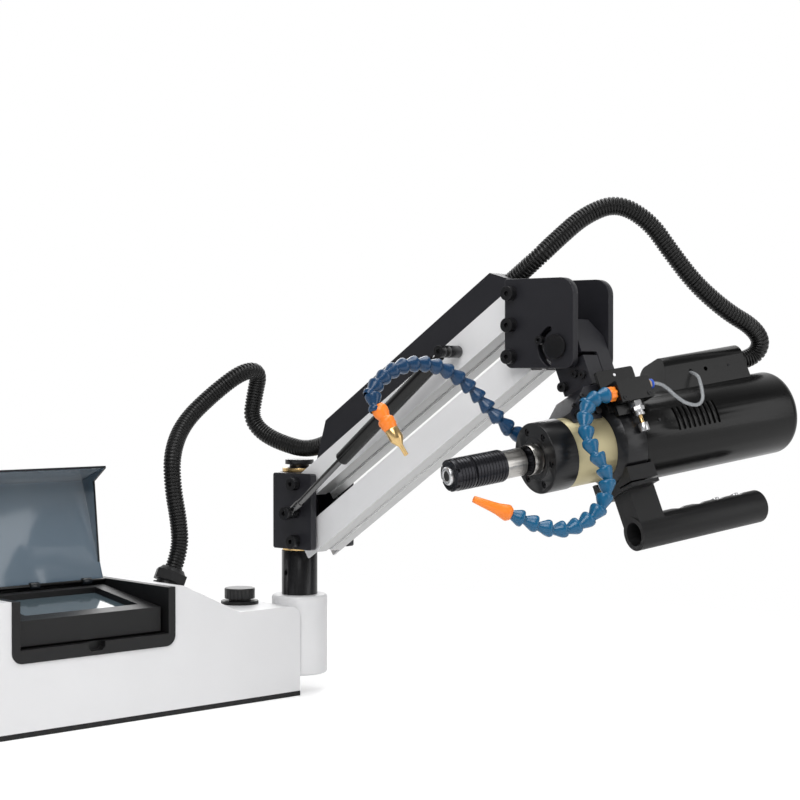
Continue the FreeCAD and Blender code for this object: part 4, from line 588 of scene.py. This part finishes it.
def lathe(name, profile, sides=32, local=upright, flutes=0, flute_depth=0.0):
    """A turned piece: a profile of places along Z and radii, spun round Z; a radius of nought closes it."""
    verts, faces, rings = [], [], []
    for height, radius in profile:
        if radius <= 0:
            rings.append([len(verts)])
            verts.append(local @ Vector((0, 0, height)))
            continue
        rings.append(list(range(len(verts), len(verts) + sides)))
        for step in range(sides):
            angle = 2 * math.pi * step / sides
            shown = radius * (1 - flute_depth * (1 - math.cos(flutes * angle)) / 2)
            verts.append(local @ Vector((shown * math.cos(angle), shown * math.sin(angle), height)))
    for low, high in zip(rings, rings[1:]):
        for step in range(sides):
            after = (step + 1) % sides
            if len(low) == 1:
                faces.append((low[0], high[after], high[step]))
            elif len(high) == 1:
                faces.append((low[step], low[after], high[0]))
            else:
                faces.append((low[step], low[after], high[after], high[step]))
    mesh = bpy.data.meshes.new(name)
    mesh.from_pydata([tuple(v) for v in verts], [], faces)
    mesh.polygons.foreach_set("use_smooth", [True] * len(mesh.polygons))
    return link_object(name, mesh)


CONDUIT_PITCH = 0.0040
CONDUIT_CREST = 0.0106
CONDUIT_ROOT = 0.0091
CONDUIT_SIDES = 32
SAMPLES_PER_RIB = 9
cabinet_conduit_points = [
    (0.0773, -0.0135, 0.1632), (0.0881, -0.0135, 0.1868), (0.084, -0.015, 0.222), (0.074, -0.017, 0.262),
    (0.076, -0.012, 0.304), (0.104, 0.002, 0.340), (0.146, 0.000, 0.374), (0.184, -0.014, 0.404),
    (0.213, -0.012, 0.404), (0.214, 0.000, 0.372), (0.211, 0.004, 0.340), (0.226, -0.020, 0.316),
    (0.2486, -0.0837, 0.3008), (0.2536, -0.1212, 0.3268),
]
head_conduit_points = [
    (0.2869, -0.3745, 0.5024), (0.2918, -0.4121, 0.5285), (0.317, -0.424, 0.554), (0.350, -0.437, 0.583),
    (0.382, -0.458, 0.598), (0.412, -0.481, 0.577), (0.433, -0.497, 0.540), (0.456, -0.515, 0.503),
    (0.486, -0.537, 0.472), (0.513, -0.553, 0.455), (0.529, -0.555, 0.436), (0.5262, -0.5404, 0.4172),
    (0.4935, -0.5328, 0.4125),
]
near_hose_points = [
    (-0.018, -0.050, 0.043), (-0.038, -0.050, 0.043), (-0.055, -0.053, 0.029), (-0.064, -0.056, 0.010),
    (-0.067, -0.059, -0.007), (-0.064, -0.061, -0.024), (-0.061, -0.062, -0.041), (-0.065, -0.062, -0.057),
    (-0.076, -0.060, -0.074), (-0.095, -0.056, -0.086), (-0.118, -0.052, -0.091), (-0.139, -0.048, -0.087),
    (-0.158, -0.045, -0.075), (-0.179, -0.042, -0.060),
]
rear_hose_points = [
    (-0.052, 0.044, 0.035), (-0.070, 0.044, 0.035), (-0.087, 0.040, 0.040), (-0.099, 0.036, 0.052),
    (-0.110, 0.037, 0.069), (-0.120, 0.037, 0.089), (-0.134, 0.035, 0.108), (-0.153, 0.031, 0.123),
    (-0.176, 0.027, 0.132), (-0.200, 0.023, 0.134), (-0.224, 0.020, 0.130), (-0.247, 0.017, 0.119),
    (-0.2625, 0.015, 0.106), (-0.2588, 0.0135, 0.090),
]
air_tube_points = [
    (0.044, -0.050, 0.0465), (0.052, -0.050, 0.0465), (0.059, -0.054, 0.038), (0.062, -0.059, 0.026),
    (0.070, -0.062, 0.015), (0.086, -0.060, 0.010), (0.103, -0.052, 0.017), (0.115, -0.042, 0.034),
    (0.121, -0.036, 0.053), (0.121, -0.022, 0.0585),
]


def make_conduit(node, points, shares, made):
    """A corrugated conduit in parts, each of which crosses one joint."""
    line = route_line(points)
    whole = length_of(line)
    pitch = whole / round(whole / CONDUIT_PITCH)
    cuts = [round(share * whole / pitch) * pitch for share in shares]
    tree = ribbed_tree()
    for step, part in enumerate(split_line(line, *cuts)):
        length = length_of(part)
        piece = grow(f"{node}_{step + 1}", line_mesh(part), tree, Pitch=pitch, Crest=CONDUIT_CREST,
                     Root=CONDUIT_ROOT, Sides=CONDUIT_SIDES, Finish=made["conduit"],
                     Samples=round(length / pitch) * SAMPLES_PER_RIB + 1)
        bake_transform(piece)
        if step == 0:
            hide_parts(node)


HOSE_PITCH = 0.0155
RIM = 0.0090
WAIST = 0.0046
BALL = 0.0066


def hose_link(pitch):
    """One link of a coolant hose: an open flared rim, a cone down to the waist, and the ball that goes on."""
    profile = [(0.10, RIM * 0.80), (0.0, RIM * 0.84), (0.02, RIM * 0.93), (0.07, RIM * 0.98), (0.16, RIM),
               (0.27, RIM * 0.96), (0.42, RIM * 0.86), (0.82, WAIST * 1.06), (0.92, WAIST),
               (1.0, BALL * 0.93),
               (1.12, BALL), (1.26, BALL * 0.94), (1.38, BALL * 0.70)]
    return lathe("hose_link", [(share * pitch, radius) for share, radius in profile], sides=36)


def make_jointed_hose(node, points, finish_of_it, tree):
    """A coolant hose of separate links that lie along its route."""
    line = route_line(points, spindle)
    length = length_of(line)
    count = round(length / HOSE_PITCH)
    link = hose_link(length / count)
    piece = grow(node + "_links", line_mesh(line), tree, Link=link, Count=count, Finish=finish_of_it)
    bpy.data.objects.remove(link)
    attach(piece, "spindle_head")
    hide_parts(node)
    return line


def make_air_tube(made):
    """The thin clear tube from the valve's push fitting to the hole in the cable box."""
    line = route_line(air_tube_points, spindle)
    curve = bpy.data.curves.new("air_tube_clear", "CURVE")
    curve.dimensions = "3D"
    spline = curve.splines.new("NURBS")
    spline.points.add(len(air_tube_points) - 1)
    for control, point in zip(spline.points, air_tube_points):
        control.co = (*(spindle @ Vector(point)), 1)
    spline.order_u = 3
    spline.use_endpoint_u = True
    curve.bevel_depth = AIR_RADIUS
    curve.bevel_resolution = 6
    curve.resolution_u = 16
    curve.use_fill_caps = False
    tube = bpy.data.objects.new("air_tube_clear", curve)
    bpy.context.scene.collection.objects.link(tube)
    curve.materials.append(made["clear"])
    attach(tube, "spindle_head")
    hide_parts("air_tube")


AIR_RADIUS = 0.0020


def end_frame(line):
    """A frame at the end of a line, with Z along it."""
    way = (line[-1] - line[-2]).normalized()
    side = way.orthogonal().normalized()
    turn = Matrix((side, way.cross(side), way)).transposed().to_4x4()
    return Matrix.Translation(line[-1]) @ turn


def painted(piece, material, body, slot):
    """Gives a new piece its finish and its body; the slot is not used."""
    piece.data.materials.clear()
    piece.data.materials.append(material)
    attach(piece, body)
    return piece


def on_spindle(place, way):
    """A frame at a place of the spindle's own frame, with Z along a direction of it."""
    z = Vector(way).normalized()
    x = z.orthogonal().normalized()
    turn = Matrix((x, z.cross(x), z)).transposed().to_4x4()
    return spindle @ Matrix.Translation(Vector(place)) @ turn


def solid(name, sections, sides, local, flutes=0, flute_depth=0.0, flat=False):
    """A closed turned piece from its sections, in millimetres."""
    profile = [(sections[0][0] * MM, 0)] + [(z * MM, r * MM) for z,
                                            r in sections] + [(sections[-1][0] * MM, 0)]
    piece = lathe(name, profile, sides, local, flutes, flute_depth)
    if flat:
        piece.data.polygons.foreach_set("use_smooth", [False] * len(piece.data.polygons))
    return piece


def joined(name, pieces):
    """Several pieces as one mesh."""
    bm = bmesh.new()
    for piece in pieces:
        bm.from_mesh(piece.data)
        bpy.data.objects.remove(piece)
    mesh = bpy.data.meshes.new(name)
    bmesh.ops.recalc_face_normals(bm, faces=bm.faces)
    bm.to_mesh(mesh)
    bm.free()
    return link_object(name, mesh)


def eased(piece, width, segments=2, angle=30):
    """Rounds a new piece's sharp edges."""
    bevel = piece.modifiers.new("bevel", "BEVEL")
    bevel.width = width
    bevel.segments = segments
    bevel.limit_method = "ANGLE"
    bevel.angle_limit = math.radians(angle)
    bevel.use_clamp_overlap = True
    bevel.harden_normals = True
    return piece


def screw_tree():
    """Copies of one screw at given places, all turned one way."""
    tree, given, result = shape_tree(
        "placed screws", Screw="NodeSocketObject", Turn="NodeSocketVector", Finish="NodeSocketMaterial")
    points = put(tree, "GeometryNodeMeshToPoints", {"Mesh": given.outputs["Geometry"]})
    screw = put(tree, "GeometryNodeObjectInfo", {"Object": given.outputs["Screw"]})
    copies = put(tree, "GeometryNodeInstanceOnPoints",
                 {"Points": points, "Instance": screw.outputs["Geometry"], "Rotation": given.outputs["Turn"]})
    real = put(tree, "GeometryNodeRealizeInstances", {"Geometry": copies})
    painted_screws = put(tree, "GeometryNodeSetMaterial",
                         {"Geometry": real, "Material": given.outputs["Finish"]})
    tree.links.new(painted_screws.outputs[0], result.inputs[0])
    return tree


def socket_screw(radius, height):
    """A cap screw's head with a hexagon socket, its seat at nought and its top upwards."""
    sides = 24
    socket = radius * 0.52
    rings = [(-height * 0.3, radius), (height * 0.82, radius), (height, radius * 0.86)]
    verts, faces = [], []
    for z, r in rings:
        verts += [(r * math.cos(2 * math.pi * k / sides), r * math.sin(2 * math.pi * k / sides),
                   z) for k in range(sides)]
    for z in (height, height * 0.35):
        for k in range(sides):
            angle = 2 * math.pi * k / sides
            side = (angle + math.pi / 6) % (math.pi / 3) - math.pi / 6
            r = socket * math.cos(math.pi / 6) / math.cos(side)
            verts.append((r * math.cos(angle), r * math.sin(angle), z))
    for ring in range(4):
        for k in range(sides):
            a, b = ring * sides + k, ring * sides + (k + 1) % sides
            faces.append((a, b, b + sides, a + sides))
    faces.append(tuple(range(sides))[::-1])
    faces.append(tuple(range(4 * sides, 5 * sides)))
    mesh = bpy.data.meshes.new("socket_screw")
    mesh.from_pydata(verts, [], faces)
    return link_object("socket_screw", mesh)


def place_screws(name, spots, way, radius, height, material, body, tree, local=spindle):
    """Cap screws on one flat face, at places of a frame and facing a direction of it."""
    seed = bpy.data.meshes.new(name)
    seed.from_pydata([tuple(local @ Vector([v * MM for v in spot])) for spot in spots], [], [])
    screw = socket_screw(radius * MM, height * MM)
    turn = (local.to_3x3() @ Vector(way)).to_track_quat("Z", "Y").to_euler()
    piece = grow(name, seed, tree, Screw=screw, Turn=turn, Finish=material)
    bpy.data.objects.remove(screw)
    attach(piece, body)
    return piece


NUT = [(0.0, 7.0), (0.6, 8.3), (2.6, 8.5), (4.4, 8.1), (6.2, 8.5), (8.4, 8.3), (9.0, 7.0)]


def make_fittings(made):
    """Hose nuts, the push fitting, the needle valve's stack and the small screws round the valve."""
    near_nut = solid("near_nut", NUT, 48, on_spindle((-0.009, -0.050, 0.043), (-1, 0, 0)), 8, 0.13)
    rear_nut = solid("rear_nut", NUT, 48, on_spindle((-0.043, 0.044, 0.035), (-1, 0, 0)), 8, 0.13)
    for nut in (near_nut, rear_nut):
        painted(nut, made["orange"], "spindle_head", "orange_plastic")
    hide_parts("valve_fittings")
    push = solid("push_fitting", [(0, 6.6), (0.6, 7.0), (2.4, 7.0), (3.0, 6.4), (6.0, 5.4)], 6,
                 on_spindle((0.035, -0.050, 0.0465), (1, 0, 0)), flat=True)
    painted(eased(push, 0.0003), made["tan"], "spindle_head", "brass")
    ring = solid("push_ring", [(0, 3.6), (0.4, 4.6), (1.2, 5.4), (2.6, 5.4), (3.0, 4.9), (3.0, 2.3),
                               (1.0, 2.2)], 32,
                 on_spindle((0.041, -0.050, 0.0465), (1, 0, 0)))
    painted(ring, made["blue_ring"], "spindle_head", "hose_blue")
    place = on_spindle((0.0125, -0.053, 0.030), (0, 0, -1))
    stack = [solid("hex_a", [(0.0, 6.4), (0.7, 7.0), (6.0, 7.0), (6.6, 6.4)], 6, place, flat=True),
             solid("hex_b", [(6.6, 6.0), (7.2, 7.4), (11.0, 7.4), (11.6, 6.6)], 6,
                   place @ Matrix.Rotation(math.radians(24), 4, "Z"), flat=True),
             solid("collar", [(11.6, 5.2), (14.0, 5.0), (14.2, 5.8), (16.6, 5.8), (17.0, 5.2)], 32, place)]
    nickel_stack = eased(joined("needle_hexes", stack), 0.0003)
    painted(nickel_stack, made["nickel"], "spindle_head", "nickel")
    stem = solid("needle_stem", [(16.0, 2.4), (19.5, 2.4), (20.0, 2.0), (20.6, 2.4), (26.0, 2.4),
                                 (30.0, 2.3)], 24, place)
    painted(stem, made["brass"], "spindle_head", "brass")
    low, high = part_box("gas_upper_stud")
    middle = frame_at((Vector(low) + Vector(high)) / 2, (1, 0, 0), arm.to_3x3() @ Vector((0, 1, 0)))
    stud_ring = solid("stud_ring", [(-1.2, 6.4), (-1.0, 7.6), (1.0, 7.6), (1.2, 6.4)], 32, middle)
    painted(stud_ring, made["nickel"], "gas_upper", "nickel")
    mouth_place = on_spindle((-0.212, 0, 0), (-1, 0, 0))
    mouth = lathe("nose_mouth", [(-0.0028, 0.0098), (-0.0004, 0.0098), (0.0005, 0.0090), (0.0008, 0.0080),
                                 (0.0008, 0.0064), (0.0004, 0.0057), (0.0001, 0.0055)], 40, mouth_place)
    painted(mouth, made["nickel"], "spindle", "steel")
    # painted shade: a near-black disc closes the bore
    dark = lathe("nose_hollow", [(0.0002, 0.0056), (0.0001, 0.0050), (0.0001, 0)], 40, mouth_place)
    painted(dark, made["hole_black"], "spindle", "black_steel")
    tree = screw_tree()
    place_screws("valve_screws", [(-3.5, -60, 34.5), (29.5, -60, 34.5)], (0, -1, 0), 2.6, 0.9,
                 made["screw_black"],
                 "spindle_head", tree)
    place_screws("bracket_screws", [(6, -41, 66)], (0, -1, 0), 1.8, 0.6, made["nickel"], "spindle_head",
                 tree)
    place_screws("cover_screws", [(40, -47.5, 6)], (0, -1, 0), 1.7, 0.5, made["screw_black"], "spindle_head",
                 tree)
    place_screws("box_screws", [(176, -26, 58)], (0, -1, 0), 1.7, 0.5, made["screw_black"], "spindle_head",
                 tree)
    place_screws("saddle_screws", [(-50, -30, 43), (-36, -30, 52)], (0, -1, 0), 3.0, 1.6, made["screw_black"],
                 "spindle_head", tree)


def make_hoses(made):
    """Both coolant hoses with their nozzles, both conduits and the air tube."""
    make_conduit("cabinet_conduit", cabinet_conduit_points, (0.5,), made)
    make_conduit("head_conduit", head_conduit_points, (0.30, 0.64),
                 made)
    near_end = end_frame(route_line(near_hose_points, spindle))
    rear_end = end_frame(route_line(rear_hose_points, spindle))
    cone = painted(lathe("near_nozzle", [(-0.002, 0.0066), (0.0, 0.0078), (0.001, 0.0086), (0.003, 0.0087),
                                         (0.006, 0.0080), (0.013, 0.0062), (0.020, 0.0054), (0.040, 0.0036),
                                         (0.0405, 0.0033), (0.0405, 0.0022), (0.030, 0.0022)], 40, near_end),
                   made["orange"], "spindle_head", "orange_plastic")
    couplers = painted(lathe("rear_couplers",
                             [(-0.002, 0.0062), (0.000, 0.0078), (0.002, 0.0086), (0.005, 0.0088),
                                               (0.009, 0.0082), (0.0125, 0.0066), (0.0135, 0.0066),
                                               (0.0150, 0.0082),
                                               (0.0165, 0.0090), (0.0190, 0.0091), (0.0200, 0.0084),
                                               (0.0212, 0.0087),
                                               (0.0230, 0.0087), (0.0240, 0.0080), (0.0275, 0.0074)], 40,
                                               rear_end),
                       made["orange"], "spindle_head", "orange_plastic")
    tip = painted(lathe("brass_tip", [(0.0270, 0.0066), (0.0272, 0.0072), (0.0280, 0.0075), (0.0395, 0.0075),
                                      (0.0405, 0.0071), (0.0465, 0.0034), (0.0478, 0.0025), (0.0590, 0.0025),
                                      (0.0594, 0.0022), (0.0594, 0.0014), (0.0500, 0.0014)], 28, rear_end),
                  made["brass"], "spindle_head", "brass")
    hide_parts("hose_nozzles")
    tree = linked_tree()
    make_jointed_hose("near_hose", near_hose_points, made["hose_near"], tree)
    make_jointed_hose("rear_hose", rear_hose_points, made["hose_rear"], tree)
    make_air_tube(made)


# Light, floor and background

def make_light(name, place, target, size, power, colour=(1, 1, 1)):
    """A soft box at a place, turned to a target."""
    data = bpy.data.lights.new(name, "AREA")
    data.shape = "RECTANGLE"
    data.size = size[0]
    data.size_y = size[1]
    data.energy = power
    data.color = colour
    lamp = bpy.data.objects.new(name, data)
    lamp.location = place
    lamp.rotation_euler = (Vector(target) - Vector(place)).to_track_quat("-Z", "Y").to_euler()
    bpy.context.scene.collection.objects.link(lamp)


def seen_directly(tree):
    """One for rays that show the background, from the camera and through glass, and less in a gloss."""
    path = put(tree, "ShaderNodeLightPath")
    seen = sums(tree, "MAXIMUM", path.outputs["Is Camera Ray"], path.outputs["Is Transmission Ray"])
    return sums(tree, "MAXIMUM", seen, sums(tree, "MULTIPLY", path.outputs["Is Glossy Ray"], FLOOR_GLOSS))


PLAIN_LIGHT = 0.42
FRONT_GLOSS = 0.16
FLOOR_GLOSS = 0.35


def make_world():
    """White to look at behind the machine, dimmer in front of it, and a plain level of light."""
    world = bpy.data.worlds.new("world")
    world.use_nodes = True
    tree = world.node_tree
    ground = tree.nodes["Background"]
    path = put(tree, "ShaderNodeLightPath")
    way = put(tree, "ShaderNodeTexCoord").outputs["Generated"]
    facing = put(tree, "ShaderNodeVectorMath", {0: way, 1: (*CAMERA_HEADING, 0.0)},
                 operation="DOT_PRODUCT").outputs["Value"]
    behind = put(tree, "ShaderNodeMapRange", {"Value": facing, "From Min": -0.1, "From Max": 0.75,
                                              "To Min": FRONT_GLOSS, "To Max": 1.0},
                 interpolation_type="SMOOTHSTEP").outputs[0]
    shown = sums(tree, "MAXIMUM", path.outputs["Is Camera Ray"], path.outputs["Is Transmission Ray"])
    gloss = sums(tree, "MULTIPLY", path.outputs["Is Glossy Ray"], behind)
    plain = sums(tree, "MULTIPLY", sums(tree, "SUBTRACT", 1.0, path.outputs["Is Glossy Ray"]), PLAIN_LIGHT)
    lit = sums(tree, "MAXIMUM", sums(tree, "MAXIMUM", shown, gloss), plain)
    ground.inputs["Color"].default_value = (1, 1, 1, 1)
    tree.links.new(lit, ground.inputs["Strength"])
    bpy.context.scene.world = world


def make_floor():
    """A pale floor that shows white and keeps the machine's shadow."""
    mesh = bpy.data.meshes.new("floor")
    half = 6.0
    mesh.from_pydata([(-half, -half, 0), (half, -half, 0), (half, half, 0), (-half, half, 0)], [],
                     [(0, 1, 2, 3)])
    floor = link_object("floor", mesh)
    floor.location = (0, 0, -0.0003)
    material, tree, shader, place = finish("floor_white")
    shader.inputs["Base Color"].default_value = (0.9, 0.9, 0.9, 1)
    shader.inputs["Roughness"].default_value = 0.9
    shader.inputs["Emission Color"].default_value = (1, 1, 1, 1)
    away = put(tree, "ShaderNodeVectorMath", {0: place, 1: (1, 1, 0)}, operation="MULTIPLY").outputs[0]
    away = put(tree, "ShaderNodeVectorMath", {0: away}, operation="LENGTH").outputs["Value"]
    edge = put(tree, "ShaderNodeMapRange", {"Value": away, "From Min": 0.45, "From Max": 1.3},
               interpolation_type="SMOOTHSTEP").outputs[0]
    white = put(tree, "ShaderNodeEmission", {"Color": (1, 1, 1, 1), "Strength": 1.0})
    shown = sums(tree, "MULTIPLY", seen_directly(tree), edge)
    both = put(tree, "ShaderNodeMixShader", {0: shown, 1: shader, 2: white})
    tree.links.new(both.outputs[0], tree.nodes["Material Output"].inputs["Surface"])
    tree.links.new(sums(tree, "MULTIPLY", seen_directly(tree), 0.25), shader.inputs["Emission Strength"])
    floor.data.materials.append(material)


def make_lights():
    """A large key from the upper left, a fill from the right, and strips above and behind."""
    target = (0.25, -0.35, 0.35)
    make_light("key", (-1.6, -1.4, 1.9), target, (1.4, 1.4), 34)
    make_light("fill", (1.0, -2.4, 0.9), target, (1.2, 1.6), 12)
    make_light("top", (0.35, -0.45, 2.0), target, (1.8, 0.7), 16)
    make_light("back", (1.5, 1.4, 1.3), target, (1.2, 1.2), 14)


bpy.context.scene.view_settings.view_transform = "Standard"
make_camera()
finishes = make_finishes()
make_hoses(finishes)
dress(finishes)
dress_faces(finishes)
make_fittings(finishes)
make_world()
make_lights()
make_floor()
